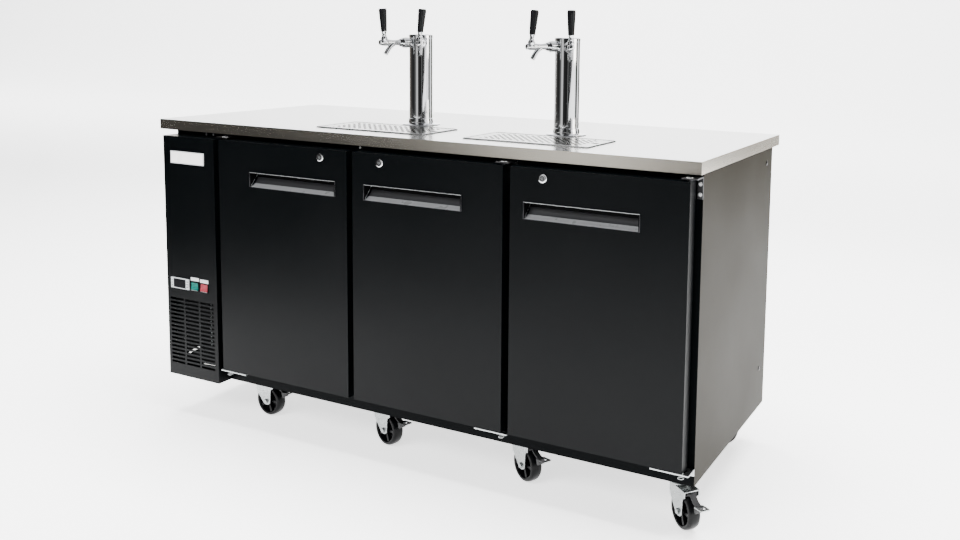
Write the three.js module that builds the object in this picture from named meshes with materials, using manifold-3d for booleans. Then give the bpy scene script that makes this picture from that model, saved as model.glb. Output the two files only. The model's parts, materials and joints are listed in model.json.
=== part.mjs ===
// Three-door direct-draw beer cooler (kegerator): an insulated back-bar cabinet on casters with a
// stainless worktop, two draught columns with two taps each, two drip trays and a machine bay at
// the left end. Millimetres, +Z up, +X to the right, +Y to the back.
//
// The pieces are built from the worktop's front left corner (X and Y) and the floor (Z). The whole
// group is moved at the end, so that its origin is the middle of its bounding box, on the floor.

import * as THREE from 'three';
import { mergeVertices } from 'three/addons/utils/BufferGeometryUtils.js';
import Module from 'manifold-3d';

const wasm = await Module();
wasm.setup();

// ---------------------------------------------------------------- driving dimensions

const GAP = 0.3;                       // between pieces that touch
const OVERCUT = 1;                     // a cutting tool runs this far past the face it breaks through

const TOP = { width: 1840, depth: 734, thickness: 32, height: 959 };
const CABINET = { left: 262, right: 1838, front: 24, back: 664, bottom: 127, wallBack: 55, frameDepth: 45 };
CABINET.top = TOP.height - TOP.thickness;

const BAY = { left: 50, sheet: 3, topStrip: 22 };          // machine bay casing
const VENT = { rows: 8, first: 190, pitch: 28, height: 10, margin: 30 };
const PANEL = { left: 44, top: 911, front: -28, sheet: 2.5 };
const SLOT = { columns: [56, 122, 188], width: 58.5, height: 7.4, rows: 17, pitch: 13.2, first: 381 };
const THERMOSTAT = { x: 104, z: 435, width: 79, height: 34, proud: 3.5 };
const THERMOSTAT_BODY = { width: 69, height: 28, depth: 45, play: 0.5 };
const DISPLAY = { left: 27, right: 22, halfHeight: 12, sunk: 1.2 };
const SWITCH = { xs: [167.5, 208], z: 432.5, width: 34, height: 29, frame: 2, bezel: 1.6, throwDeg: 14 };
const BADGE = { x: 148.5, z: 844.5, width: 143, height: 39, thickness: 1.5 };

const DOOR = { width: 499, bottom: 179, top: 912, front: -28, thickness: 40 };
const DOORS = [
  { left: 282.5, hinge: 'left' },
  { left: 802, hinge: 'right' },
  { left: 1323.5, hinge: 'right' },
];
const OPENING_INSET = 34;              // door edge to the edge of its opening
const GASKET = { inset: 11, width: 21 };
const PULL = { fromEdge: 41, width: 330, height: 46, z: 799, depth: 33, wall: 3, proud: 2 };
const LOCK = { fromEdge: 97, belowTop: 25, radius: 7, bezelRadius: 10, proud: 3, depth: 26 };
const PIN = { fromEdge: 9, y: -8, radius: 4, grip: 12, play: 0.4 };
const HINGE = {
  sheet: 3, front: -22, topReach: 17, bottomReach: 79, flange: 14.5, flangeDrop: 56, footDrop: 18,
};
// Hinge plates lie this far above and below the door; their pins carry a washer and a head.
const HINGE_PLATE = { above: 5, below: 8, washer: 7, head: 6, headHeight: 2.5, screw: 4.5, screwHead: 2.5 };

const TRAY = {
  xs: [768, 1297], width: 392, depth: 184, front: 86, rim: 10, lip: 2, well: 26, sheet: 2, ledge: 6,
};
const GRATE = { play: 1, slotRows: 4, slotColumns: 5, slotWidth: 44, slotHeight: 5, margin: 40, notch: 9 };
const COLUMN = { xs: [775, 1297], y: 347, radius: 38.1, wall: 2.1, height: 287, flange: 59 };
const LINE_HOLE = 25;                  // radius of the beer line hole under each column
const FAUCET = { height: 260, lever: 125, shank: 7, shankPlay: 0.6, collar: 10.2, bore: 8.6, cup: 18 };
// How far each tap points to the side of straight ahead, in degrees: two taps on each column.
const TAP_TURNS = [[-29, 33], [-30, 31]];
const LEVER_PIVOT = 12;                // above the faucet's axis
// How far each handle leans as it is screwed on: away from the column, then sideways, in degrees.
const LEANS = [[3.5, 0], [0, 5.5], [-6.6, 0], [0, 0]];

const WHEEL = { radius: 50, width: 34, bore: 4.5, lead: 30 };
const FORK = { inner: 39, sheet: 3, bridge: 109, collar: 27, front: -16, rear: 59, boltReach: 9, boltHead: 8 };
const PEDAL_PIN = { u: 52, z: 102.5, radius: 3, play: 0.4 };
const PEDAL = { knuckle: 5.2, arm: 8, tab: 13, block: 11 };    // the arm, tab and block are half widths
const CASTERS = [
  { x: 325, y: 104, yawDeg: -3, brake: true },
  { x: 804, y: 107, yawDeg: -16, brake: true },
  { x: 1295, y: 102, yawDeg: -26, brake: true },
  { x: 1786, y: 67, yawDeg: -39, brake: true },
  { x: 325, y: 590, yawDeg: 12, brake: false },
  { x: 1765, y: 590, yawDeg: 187, brake: false },
];
const CASTER_PLATE = { length: 92, width: 66, thickness: 3 };

const COMPRESSOR = { x: 157, y: 500, radius: 74, height: 196, footWidth: 180, footDepth: 150, footSheet: 4 };
const POST = { x: 50, y: 45, radius: 9, height: 34 };      // four rubber posts under the compressor
const CONDENSER = { left: 62, right: 252, front: 62, depth: 55, bottom: 150, top: 362, shroud: 70 };
const FIN = { margin: 12, pitch: 20, height: 8, inset: 8, depth: 12 };
const MOTOR = { radius: 26, gap: 4, behindShroud: 30, strutHalf: 7, strutDepth: 6 };
const FAN = { radius: 84, clearance: 6, hub: 21, depth: 24, blades: 5, z: 256 };
const BLADE = { halfWidth: 24, halfThickness: 1.2, pitchDeg: 24, root: 3 };
const EVAPORATOR = { thickness: 46, front: 150, back: 550, bottom: 400, top: 800 };
const AIR_SLOT = { margin: 30, pitch: 34, height: 14, inset: 20, depth: 26 };

// ---------------------------------------------------------------- solids

const rad = THREE.MathUtils.degToRad;

/** A manifold solid from a closed three.js geometry. */
function solid(geometry) {
  const bare = new THREE.BufferGeometry();
  bare.setAttribute('position', geometry.getAttribute('position'));
  if (geometry.index) bare.setIndex(geometry.index);
  const merged = mergeVertices(bare, 1e-4);
  const points = merged.getAttribute('position').array;
  const kept = [];
  const index = merged.index.array;
  for (let i = 0; i < index.length; i += 3) {
    const [a, b, c] = [index[i], index[i + 1], index[i + 2]];
    if (a !== b && b !== c && c !== a) kept.push(a, b, c);
  }
  if (signedVolume(points, kept) < 0) kept.reverse();
  return new wasm.Manifold(new wasm.Mesh({
    numProp: 3,
    vertProperties: new Float32Array(points),
    triVerts: new Uint32Array(kept),
  }));
}

function signedVolume(points, index) {
  const corner = (k) => new THREE.Vector3().fromArray(points, 3 * k);
  let volume = 0;
  for (let i = 0; i < index.length; i += 3) {
    volume += corner(index[i]).dot(corner(index[i + 1]).cross(corner(index[i + 2])));
  }
  return volume / 6;
}

/** A three.js geometry from a manifold solid. */
function geometryOf(shape) {
  const mesh = shape.getMesh();
  const geometry = new THREE.BufferGeometry();
  geometry.setAttribute('position', new THREE.BufferAttribute(new Float32Array(mesh.vertProperties), 3));
  geometry.setIndex([...mesh.triVerts]);
  geometry.computeVertexNormals();
  return geometry;
}

/** A box between two corners. */
function box(x0, x1, y0, y1, z0, z1) {
  const geometry = new THREE.BoxGeometry(x1 - x0, y1 - y0, z1 - z0);
  return solid(geometry.translate((x0 + x1) / 2, (y0 + y1) / 2, (z0 + z1) / 2));
}

/** A box by its middle in X and Y. */
function block(x, y, width, depth, z0, z1) {
  return box(x - width / 2, x + width / 2, y - depth / 2, y + depth / 2, z0, z1);
}

/** A solid of revolution about Z from [radius, height] points that start and end on the axis. */
function turned(points, segments) {
  const profile = points.map(([r, z]) => new THREE.Vector2(r, z));
  return solid(new THREE.LatheGeometry(profile, segments).rotateX(Math.PI / 2));
}

/** A closed ring of revolution about Z from a loop of [radius, height] points. */
function turnedRing(points, segments) {
  return turned([...points, points[0]], segments);
}

/** A round bar from `from` to `to` on the axis 'x', 'y' or 'z', centred on the other two. */
function bar(axis, radius, from, to, centre, segments = 16) {
  const geometry = new THREE.CylinderGeometry(radius, radius, to - from, segments);
  const middle = (from + to) / 2;
  if (axis === 'x') geometry.rotateZ(-Math.PI / 2).translate(middle, centre[0], centre[1]);
  if (axis === 'y') geometry.translate(centre[0], middle, centre[1]);
  if (axis === 'z') geometry.rotateX(Math.PI / 2).translate(centre[0], centre[1], middle);
  return solid(geometry);
}

/** An outline in the Y-Z plane carried along X from x0 to x1. */
function profileAlongX(outline, x0, x1) {
  const shape = new THREE.Shape(outline.map(([y, z]) => new THREE.Vector2(y, z)));
  const geometry = new THREE.ExtrudeGeometry(shape, { depth: x1 - x0, bevelEnabled: false });
  // Shape X becomes Y, shape Y becomes Z and the depth becomes X.
  geometry.applyMatrix4(new THREE.Matrix4().set(0, 0, 1, x0, 1, 0, 0, 0, 0, 1, 0, 0, 0, 0, 0, 1));
  return solid(geometry);
}

/** An outline in the X-Z plane carried along Y from y0 to y1. */
function profileAlongY(outline, y0, y1) {
  const shape = new THREE.Shape(outline.map(([x, z]) => new THREE.Vector2(x, z)));
  const geometry = new THREE.ExtrudeGeometry(shape, { depth: y1 - y0, bevelEnabled: false });
  geometry.applyMatrix4(new THREE.Matrix4().set(1, 0, 0, 0, 0, 0, -1, y1, 0, 1, 0, 0, 0, 0, 0, 1));
  return solid(geometry);
}

/** A round tube's outer surface swept along a curve. */
function sweptBar(curve, radius, steps, segments) {
  const section = new THREE.Shape();
  section.absarc(0, 0, radius, 0, 2 * Math.PI, false);
  return solid(new THREE.ExtrudeGeometry(section, {
    steps,
    curveSegments: segments,
    bevelEnabled: false,
    extrudePath: curve,
  }));
}

const join = (...shapes) => shapes.reduce((whole, shape) => whole.add(shape));
const cut = (whole, ...shapes) => shapes.reduce((rest, shape) => rest.subtract(shape), whole);

// ---------------------------------------------------------------- finishes and placing

const finish = (color, roughness, metalness) => new THREE.MeshStandardMaterial({ color, roughness, metalness });
const FINISH = {
  blackPaint: finish('#15171a', 0.42, 0.1),
  stainless: finish('#c9cbc9', 0.28, 1),
  chrome: finish('#dfe2e4', 0.08, 1),
  zinc: finish('#b9bfbe', 0.35, 1),
  pullMetal: finish('#a9adb0', 0.4, 0.8),
  blackPlastic: finish('#0e0f11', 0.3, 0),
  greyPlastic: finish('#b8bdbd', 0.45, 0),
  greenLens: finish('#1fa38a', 0.25, 0),
  redLens: finish('#c2384a', 0.25, 0),
  whitePlate: finish('#eceae6', 0.35, 0),
  rubber: finish('#1c1c1d', 0.8, 0),
  tread: finish('#141516', 0.5, 0),
  aluminium: finish('#9ea3a6', 0.45, 1),
  machineBlack: finish('#1a1b1c', 0.5, 0.2),
};

const kegerator = new THREE.Group();

/** Adds a named piece to a group, the kegerator's own unless another is given. */
function add(name, material, shape, group = kegerator) {
  const mesh = new THREE.Mesh(geometryOf(shape), material);
  mesh.name = name;
  group.add(mesh);
  return mesh;
}

/** A group inside the kegerator at a place, turned about Z. */
function placeAt(x, y, z, turnDeg) {
  const group = new THREE.Group();
  group.position.set(x, y, z);
  group.rotation.z = rad(turnDeg);
  kegerator.add(group);
  return group;
}

// ---------------------------------------------------------------- cabinet

const cavityLeft = DOORS[0].left + OPENING_INSET;
const cavityRight = DOORS[2].left + DOOR.width - OPENING_INSET;
const cavityFloor = DOOR.bottom + OPENING_INSET;
const cavityCeiling = DOOR.top - OPENING_INSET;

/** Insulated body: outer skin, foam and liner as one wall, with two mullions between the openings. */
function cabinetShell() {
  const { left, right, front, back, bottom, top, wallBack, frameDepth } = CABINET;
  const body = box(left, right, front, back, bottom, top - GAP);
  const cavity = box(cavityLeft, cavityRight, front + frameDepth, back - wallBack, cavityFloor, cavityCeiling);
  const openings = DOORS.map((door) => box(
    door.left + OPENING_INSET, door.left + DOOR.width - OPENING_INSET,
    front - OVERCUT, front + frameDepth + OVERCUT, cavityFloor, cavityCeiling));
  const lineHoles = COLUMN.xs.map((x) => bar(
    'z', LINE_HOLE, cavityCeiling - OVERCUT, top + OVERCUT, [x, COLUMN.y], 12));
  const plates = CASTERS.map(({ x, y }) => block(
    x, y, CASTER_PLATE.length, CASTER_PLATE.width, bottom - CASTER_PLATE.thickness, bottom + 1));
  return join(cut(body, cavity, ...openings, ...lineHoles), ...plates);
}

/** Sheet casing round the machine bay, open to the front and to the cabinet, with vents at the back. */
function machineBay() {
  const { left, sheet, topStrip } = BAY;
  const right = CABINET.left - GAP;
  const { front, back, bottom } = CABINET;
  const top = CABINET.top - GAP;
  const casing = box(left, right, front, back, bottom, top);
  const inside = box(left + sheet, right + OVERCUT, front + sheet, back - sheet, bottom + sheet, top - sheet);
  const mouth = box(
    left + sheet, right + OVERCUT, front - OVERCUT, front + sheet + OVERCUT, bottom + sheet, top - topStrip);
  const vents = [];
  for (let row = 0; row < VENT.rows; row += 1) {
    const z = VENT.first + VENT.pitch * row;
    vents.push(box(
      left + VENT.margin, right - VENT.margin, back - sheet - OVERCUT, back + OVERCUT, z, z + VENT.height));
  }
  return cut(casing, inside, mouth, ...vents);
}

/** Front cover of the machine bay: a shallow tray with louvre slots and the control cut-outs. */
function grillePanel() {
  const { left, top, front, sheet } = PANEL;
  const right = CABINET.left - GAP;
  const back = CABINET.front - GAP;
  const cover = box(left, right, front, back, CABINET.bottom, top);
  const inside = box(
    left + sheet, right - sheet, front + sheet, back + OVERCUT, CABINET.bottom + sheet, top - sheet);
  const slots = [];
  for (const x of SLOT.columns) {
    for (let row = 0; row < SLOT.rows; row += 1) {
      const z = SLOT.first - SLOT.pitch * row;
      slots.push(box(
        x, x + SLOT.width, front - OVERCUT, front + sheet + OVERCUT, z - SLOT.height / 2, z + SLOT.height / 2));
    }
  }
  const bezels = SWITCH.xs.map((x) => box(
    x - SWITCH.width / 2, x + SWITCH.width / 2, front - SWITCH.bezel, front + 1,
    SWITCH.z - SWITCH.height / 2, SWITCH.z + SWITCH.height / 2));
  const rockerHalf = { x: SWITCH.width / 2 - SWITCH.frame, z: SWITCH.height / 2 - SWITCH.frame };
  const rockerHoles = SWITCH.xs.map((x) => box(
    x - rockerHalf.x, x + rockerHalf.x, front - SWITCH.bezel - OVERCUT, front + sheet + OVERCUT,
    SWITCH.z - rockerHalf.z, SWITCH.z + rockerHalf.z));
  const holeHalf = {
    x: THERMOSTAT_BODY.width / 2 + THERMOSTAT_BODY.play,
    z: THERMOSTAT_BODY.height / 2 + THERMOSTAT_BODY.play,
  };
  const controlHole = box(
    THERMOSTAT.x - holeHalf.x, THERMOSTAT.x + holeHalf.x, front - OVERCUT, front + sheet + OVERCUT,
    THERMOSTAT.z - holeHalf.z, THERMOSTAT.z + holeHalf.z);
  return cut(join(cut(cover, inside, ...slots), ...bezels), ...rockerHoles, controlHole);
}

/** Digital thermostat: a bezel with a sunk display, and its body behind the panel. */
function thermostat() {
  const { x, z, width, height, proud } = THERMOSTAT;
  const face = PANEL.front - GAP;
  const bezel = box(x - width / 2, x + width / 2, face - proud, face, z - height / 2, z + height / 2);
  const half = { x: THERMOSTAT_BODY.width / 2, z: THERMOSTAT_BODY.height / 2 };
  const body = box(x - half.x, x + half.x, face - 1, face + THERMOSTAT_BODY.depth, z - half.z, z + half.z);
  const display = box(
    x - DISPLAY.left, x + DISPLAY.right, face - proud - OVERCUT, face - proud + DISPLAY.sunk,
    z - DISPLAY.halfHeight, z + DISPLAY.halfHeight);
  return cut(join(bezel, body), display);
}

/** Rocker of a mains switch, tilted on its pin so that its lower half stands out. */
function rocker() {
  const half = SWITCH.width / 2 - SWITCH.frame - 0.6;
  const reach = SWITCH.height / 2 - SWITCH.frame - 0.8;
  // A shallow V of two pads over a round heel, drawn about the pivot.
  const outline = [[-3.2, reach], [-2, 0], [-3.2, -reach], [2, -reach + 2.5], [7, 0], [2, reach - 2.5]];
  return profileAlongX(outline, -half, half);
}

/** Worktop slab with two tray cut-outs and two beer line holes. */
function worktop() {
  const slab = box(0, TOP.width, 0, TOP.depth, CABINET.top, TOP.height);
  const trayMiddle = TRAY.front + TRAY.depth / 2;
  // Each cut-out is a millimetre larger all round than the tray's pan.
  const wells = TRAY.xs.map((x) => block(
    x, trayMiddle, TRAY.width - 2 * TRAY.rim + 2, TRAY.depth - 2 * TRAY.rim + 2,
    CABINET.top - OVERCUT, TOP.height + OVERCUT));
  const lineHoles = COLUMN.xs.map((x) => bar(
    'z', LINE_HOLE, CABINET.top - OVERCUT, TOP.height + OVERCUT, [x, COLUMN.y], 12));
  return cut(slab, ...wells, ...lineHoles);
}

add('cabinet_shell', FINISH.blackPaint, cabinetShell());
add('machine_bay', FINISH.blackPaint, machineBay());
add('grille_panel', FINISH.blackPaint, grillePanel());
add('thermostat', FINISH.greyPlastic, thermostat());
add('badge_plate', FINISH.whitePlate, box(
  BADGE.x - BADGE.width / 2, BADGE.x + BADGE.width / 2,
  PANEL.front - GAP - BADGE.thickness, PANEL.front - GAP,
  BADGE.z - BADGE.height / 2, BADGE.z + BADGE.height / 2));
add('worktop', FINISH.stainless, worktop());

for (const [i, name] of ['switch_green', 'switch_red'].entries()) {
  const mesh = add(name, i === 0 ? FINISH.greenLens : FINISH.redLens, rocker());
  mesh.position.set(SWITCH.xs[i], PANEL.front + 0.5, SWITCH.z);
  mesh.rotation.x = rad(-SWITCH.throwDeg / 2);
}

// ---------------------------------------------------------------- doors

/** Door leaf with a pocket for the pull, a hole for the lock and a pin hole in each end. */
function doorLeaf(place) {
  const { left, right, pinX, pullX, lockX } = place;
  const back = DOOR.front + DOOR.thickness;
  const leaf = box(left, right, DOOR.front, back, DOOR.bottom, DOOR.top);
  const pocket = box(
    pullX - PULL.width / 2 + 1, pullX + PULL.width / 2 - 1, DOOR.front - OVERCUT, DOOR.front + PULL.depth + 1,
    PULL.z - PULL.height / 2 + 1, PULL.z + PULL.height / 2 - 1);
  const lockZ = DOOR.top - LOCK.belowTop;
  const bezel = bar('y', LOCK.bezelRadius, DOOR.front - LOCK.proud + 0.5, DOOR.front + 1, [lockX, lockZ], 16);
  const lockHole = bar(
    'y', LOCK.radius + 0.5, DOOR.front - LOCK.proud - OVERCUT, DOOR.front + LOCK.depth + 1, [lockX, lockZ]);
  const pinHoles = [
    bar('z', PIN.radius + PIN.play, DOOR.top - PIN.grip - 2, DOOR.top + OVERCUT, [pinX, PIN.y], 10),
    bar('z', PIN.radius + PIN.play, DOOR.bottom - OVERCUT, DOOR.bottom + PIN.grip + 2, [pinX, PIN.y], 10),
  ];
  return cut(join(leaf, bezel), pocket, lockHole, ...pinHoles);
}

/** Magnetic gasket: a rectangular ring on the back of the leaf. */
function gasket({ left, right }) {
  const front = DOOR.front + DOOR.thickness + GAP;
  const back = CABINET.front - GAP;
  const ring = (inset, y0, y1) => box(
    left + inset, right - inset, y0, y1, DOOR.bottom + inset, DOOR.top - inset);
  return cut(
    ring(GASKET.inset, front, back),
    ring(GASKET.inset + GASKET.width, front - OVERCUT, back + OVERCUT));
}

/** Recessed pull: a flanged pocket whose floor curves up towards its back. */
function pull({ pullX }) {
  const { width, height, z, depth, wall, proud } = PULL;
  const face = DOOR.front - GAP;
  const flange = box(pullX - width / 2, pullX + width / 2, face - proud, face, z - height / 2, z + height / 2);
  const shell = box(
    pullX - width / 2 + 2, pullX + width / 2 - 2, face - 1, DOOR.front + depth,
    z - height / 2 + 2, z + height / 2 - 2);
  const ceiling = z + height / 2 - wall - 1;
  const sill = z - height / 2 + wall + 1;
  const rear = DOOR.front + depth - wall;
  const hollow = [[face - proud - 1, ceiling], [rear, ceiling]];
  const sillCurve = new THREE.QuadraticBezierCurve(
    new THREE.Vector2(rear, sill + 20),
    new THREE.Vector2(rear - 3, sill + 4),
    new THREE.Vector2(face - proud, sill));
  for (const point of sillCurve.getPoints(5)) hollow.push([point.x, point.y]);
  hollow.push([face - proud - 1, sill]);
  return cut(join(flange, shell), profileAlongX(hollow, pullX - width / 2 + 6, pullX + width / 2 - 6));
}

/** Key cylinder of the door lock, with its keyway upright. */
function lockCylinder() {
  const { radius, proud, depth } = LOCK;
  const plug = bar('y', radius, -proud, depth, [0, 0], 14);
  return cut(plug, box(-0.8, 0.8, -proud - 1, -proud + 4, -4, 4));
}

/** Hinge bracket: a plate over or under the door's end, a leg on the cabinet front and the pin. */
function hingeBracket(place, end) {
  const { pinX, outward } = place;
  const edge = pinX + outward * PIN.fromEdge;
  const top = end === 'top';
  const reach = top ? HINGE.topReach : HINGE.bottomReach;
  const between = (a, b) => [Math.min(a, b), Math.max(a, b)];
  const [x0, x1] = between(pinX - outward * reach, edge + outward * (HINGE.flange + 1));
  const [legX0, legX1] = between(edge + outward, edge + outward * (HINGE.flange + 1));
  const { above, below, washer: washerRadius, head: headRadius, headHeight, screw, screwHead } = HINGE_PLATE;
  const plateLow = top ? DOOR.top + above : DOOR.bottom - below;
  const plateHigh = plateLow + HINGE.sheet;
  const back = CABINET.front - GAP;
  const plate = box(x0, x1, HINGE.front, back, plateLow, plateHigh);
  const legZ = [plateHigh - (top ? HINGE.flangeDrop : HINGE.footDrop), plateHigh];
  const leg = box(legX0, legX1, back - HINGE.sheet, back, ...legZ);
  const centre = [pinX, PIN.y];
  const pin = top
    ? bar('z', PIN.radius, DOOR.top - PIN.grip, plateLow + 1, centre, 10)
    : bar('z', PIN.radius, plateHigh - 1, DOOR.bottom + PIN.grip, centre, 10);
  const washer = top
    ? bar('z', washerRadius, DOOR.top + 0.5, plateLow + 1, centre, 10)
    : bar('z', washerRadius, plateHigh - 1, DOOR.bottom - 0.5, centre, 10);
  const head = top
    ? bar('z', headRadius, plateHigh - 1, plateHigh + headHeight - 1, centre, 8)
    : bar('z', headRadius, plateLow - headHeight, plateLow + 1, centre, 8);
  const screwX = (legX0 + legX1) / 2;
  const screwZs = top ? [legZ[0] + 12, legZ[1] - 18] : [legZ[0] + 7];
  const screwFace = back - HINGE.sheet - screwHead;
  const screws = screwZs.map((z) => bar('y', screw, screwFace, back - 1, [screwX, z], 8));
  return join(plate, leg, pin, washer, head, ...screws);
}

for (const [i, door] of DOORS.entries()) {
  const number = i + 1;
  const outward = door.hinge === 'left' ? -1 : 1;
  const left = door.left;
  const right = door.left + DOOR.width;
  const hingeEdge = outward < 0 ? left : right;
  const freeEdge = outward < 0 ? right : left;
  const place = {
    left,
    right,
    outward,
    pinX: hingeEdge - outward * PIN.fromEdge,
    pullX: freeEdge + outward * (PULL.fromEdge + PULL.width / 2),
    lockX: freeEdge + outward * LOCK.fromEdge,
  };
  add(`door_${number}`, FINISH.blackPaint, doorLeaf(place));
  add(`door_gasket_${number}`, FINISH.rubber, gasket(place));
  add(`door_pull_${number}`, FINISH.pullMetal, pull(place));
  const cylinder = add(`door_lock_${number}`, FINISH.chrome, lockCylinder());
  cylinder.position.set(place.lockX, DOOR.front, DOOR.top - LOCK.belowTop);
  add(`hinge_top_${number}`, FINISH.zinc, hingeBracket(place, 'top'));
  add(`hinge_bottom_${number}`, FINISH.zinc, hingeBracket(place, 'bottom'));
}

// ---------------------------------------------------------------- drip trays

/** Drip tray about its middle, Z from the worktop: a rim on the worktop, a ledge and a shallow well. */
function dripTray() {
  const { width, depth, rim, lip, well, sheet, ledge } = TRAY;
  const inset = (margin, z0, z1) => block(0, 0, width - 2 * margin, depth - 2 * margin, z0, z1);
  const plate = inset(0, GAP, GAP + lip);
  const pan = inset(rim, -well, GAP + 1);
  const seat = inset(rim + sheet, 0, GAP + lip + OVERCUT);
  const hollow = inset(rim + sheet + ledge, sheet - well, OVERCUT);
  return cut(join(plate, pan), seat, hollow);
}

/** Perforated insert that rests on the tray's ledge, with a finger notch at its right end. */
function dripGrate() {
  const { play, slotRows, slotColumns, slotWidth, slotHeight, margin, notch } = GRATE;
  const width = TRAY.width - 2 * (TRAY.rim + TRAY.sheet + play);
  const depth = TRAY.depth - 2 * (TRAY.rim + TRAY.sheet + play);
  const above = TRAY.lip + OVERCUT;
  const plate = block(0, 0, width, depth, GAP, GAP + TRAY.lip);
  const stepX = (width - 2 * margin) / (slotColumns - 1);
  const stepY = (depth - 1.7 * margin) / (slotRows - 1);
  const holes = [bar('z', notch, 0, above, [width / 2 - 1, 0], 12)];
  for (let row = 0; row < slotRows; row += 1) {
    const stagger = row % 2 === 0 ? 0 : stepX / 2;
    for (let column = 0; column < slotColumns - (row % 2); column += 1) {
      const x = -width / 2 + margin + stagger + column * stepX;
      const y = -((slotRows - 1) * stepY) / 2 + row * stepY;
      holes.push(block(x, y, slotWidth, slotHeight, 0, above));
    }
  }
  return cut(plate, ...holes);
}

// ---------------------------------------------------------------- draught columns and taps

/** Hollow column on a spun flange, with a cap and a shank hole for each of its taps. */
function column(turns) {
  const { radius, wall, height, flange } = COLUMN;
  const inner = radius - wall;
  const tube = turned([
    [0, height - 3], [inner, height - 3], [inner, GAP], [flange, GAP], [flange, 3], [radius + 8, 5],
    [radius + 2.9, 8], [radius + 2.6, 15], [radius, 21], [radius, height - 12], [radius + 1.2, height - 11],
    [radius + 1.2, height], [0, height],
  ], 20);
  const holeRadius = FAUCET.shank + FAUCET.shankPlay;
  const shankHoles = turns.map((turn) => bar(
    'y', holeRadius, -radius - 5, -inner + 12, [0, FAUCET.height], 12).rotate([0, 0, turn]));
  return cut(tube, ...shankHoles);
}

/** Faucet along local X from the column's axis, Z from its own axis: shank, coupling nut, body, spout. */
function faucet() {
  const alongX = (shape) => shape.rotate([0, 90, 0]);
  const { lever, shank, collar, bore, cup: rim } = FAUCET;
  const stem = alongX(turned([
    [0, 27], [shank, 27], [shank, 39], [15.5, 39], [15.5, 70], [10, 78], [10.5, 133], [7, 141], [0, 141],
  ], 12));
  const cup = turned([[0, 0], [collar, 0], [collar, rim], [0, rim]], 12).translate([lever, 0, 0]);
  const cupBore = turned([[0, 5.5], [bore, 5.5], [bore, 25], [0, 25]], 12).translate([lever, 0, 0]);
  const outlet = new THREE.Vector3(lever - 1, 0, -37);
  const bend = new THREE.QuadraticBezierCurve3(
    new THREE.Vector3(92, 0, -2), new THREE.Vector3(107, 0, -9), outlet);
  const spout = sweptBar(bend, FAUCET.shank, 3, 4);
  const away = bend.getTangent(1);
  const mouth = solid(new THREE.CylinderGeometry(5, 5, 24, 8)
    .applyQuaternion(new THREE.Quaternion().setFromUnitVectors(new THREE.Vector3(0, 1, 0), away))
    .translate(outlet.x, 0, outlet.z));
  return cut(join(stem, cup, spout), cupBore, mouth);
}

/** Lever and grip about the lever's pivot: ball, stem, ferrule and a tapered twelve-sided grip. */
function tapHandle() {
  return turned([
    [0, -5.5], [5.5, 0], [3.2, 5], [3.2, 11], [5.4, 11.6], [5.4, 21], [7.8, 22.5], [10.3, 91], [9.4, 93.5],
    [0, 93.5],
  ], 12);
}

for (const [i, x] of COLUMN.xs.entries()) {
  const number = i + 1;
  const turns = TAP_TURNS[i];
  const tray = placeAt(TRAY.xs[i], TRAY.front + TRAY.depth / 2, TOP.height, 0);
  add(`drip_tray_${number}`, FINISH.stainless, dripTray(), tray);
  add(`drip_grate_${number}`, FINISH.stainless, dripGrate(), tray);
  add(`column_${number}`, FINISH.chrome, column(turns), placeAt(x, COLUMN.y, TOP.height, 0));
  for (const [j, turn] of turns.entries()) {
    const tap = 2 * i + j;
    // The tap's local X leads away from the column, towards the front.
    const mount = placeAt(x, COLUMN.y, TOP.height + FAUCET.height, turn - 90);
    add(`faucet_${tap + 1}`, FINISH.chrome, faucet(), mount);
    const handle = add(`tap_handle_${tap + 1}`, FINISH.blackPlastic, tapHandle(), mount);
    handle.position.set(FAUCET.lever, 0, LEVER_PIVOT);
    const [away, sideways] = LEANS[tap];
    handle.rotation.set(rad(-sideways), rad(away), 0);
  }
}

// ---------------------------------------------------------------- machine bay and cooling

/** Hermetic compressor: a domed can on a foot plate. */
function compressor() {
  const floor = CABINET.bottom + BAY.sheet + GAP;
  const { x, y, radius, height, footWidth, footDepth, footSheet } = COMPRESSOR;
  const can = turned([
    [0, 12], [radius - 18, 12], [radius, 40], [radius, 104], [radius + 3, 106], [radius + 3, 112],
    [radius, 114], [radius, 150], [radius - 12, height - 16], [radius - 40, height], [0, height],
  ], 16).translate([x, y, floor]);
  const foot = block(x, y, footWidth, footDepth, floor, floor + footSheet);
  const posts = [[-1, -1], [1, -1], [-1, 1], [1, 1]].map(([sx, sy]) => bar(
    'z', POST.radius, floor + footSheet - 1, floor + POST.height, [x + sx * POST.x, y + sy * POST.y], 8));
  return join(can, foot, ...posts);
}

const condenserX = (CONDENSER.left + CONDENSER.right) / 2;
const fanFront = CONDENSER.front + CONDENSER.depth + 22;

/** Condenser coil block with its fan shroud, legs and motor. */
function condenser() {
  const { left, right, front, depth, bottom, top, shroud } = CONDENSER;
  const floor = CABINET.bottom + BAY.sheet + GAP;
  const coil = box(left, right, front, front + depth, bottom, top);
  const grooves = [];
  for (let z = bottom + FIN.margin; z < top - FIN.margin; z += FIN.pitch) {
    grooves.push(box(
      left + FIN.inset, right - FIN.inset, front - OVERCUT, front + FIN.depth, z, z + FIN.height));
  }
  const rear = front + depth + shroud;
  const axis = [condenserX, FAN.z];
  const duct = box(left, right, front + depth - 1, rear, bottom, top);
  const throat = bar('y', FAN.radius + FAN.clearance, front + depth, rear + OVERCUT, axis, 24);
  const motor = bar('y', MOTOR.radius, fanFront + FAN.depth + MOTOR.gap, rear + MOTOR.behindShroud, axis, 20);
  const strut = box(
    left, right, rear - MOTOR.strutDepth, rear, FAN.z - MOTOR.strutHalf, FAN.z + MOTOR.strutHalf);
  const legs = [left + 4, right - 16].map((x) => box(x, x + 12, front + 4, rear, floor, bottom + 1));
  return join(cut(coil, ...grooves), cut(duct, throat), motor, strut, ...legs);
}

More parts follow.
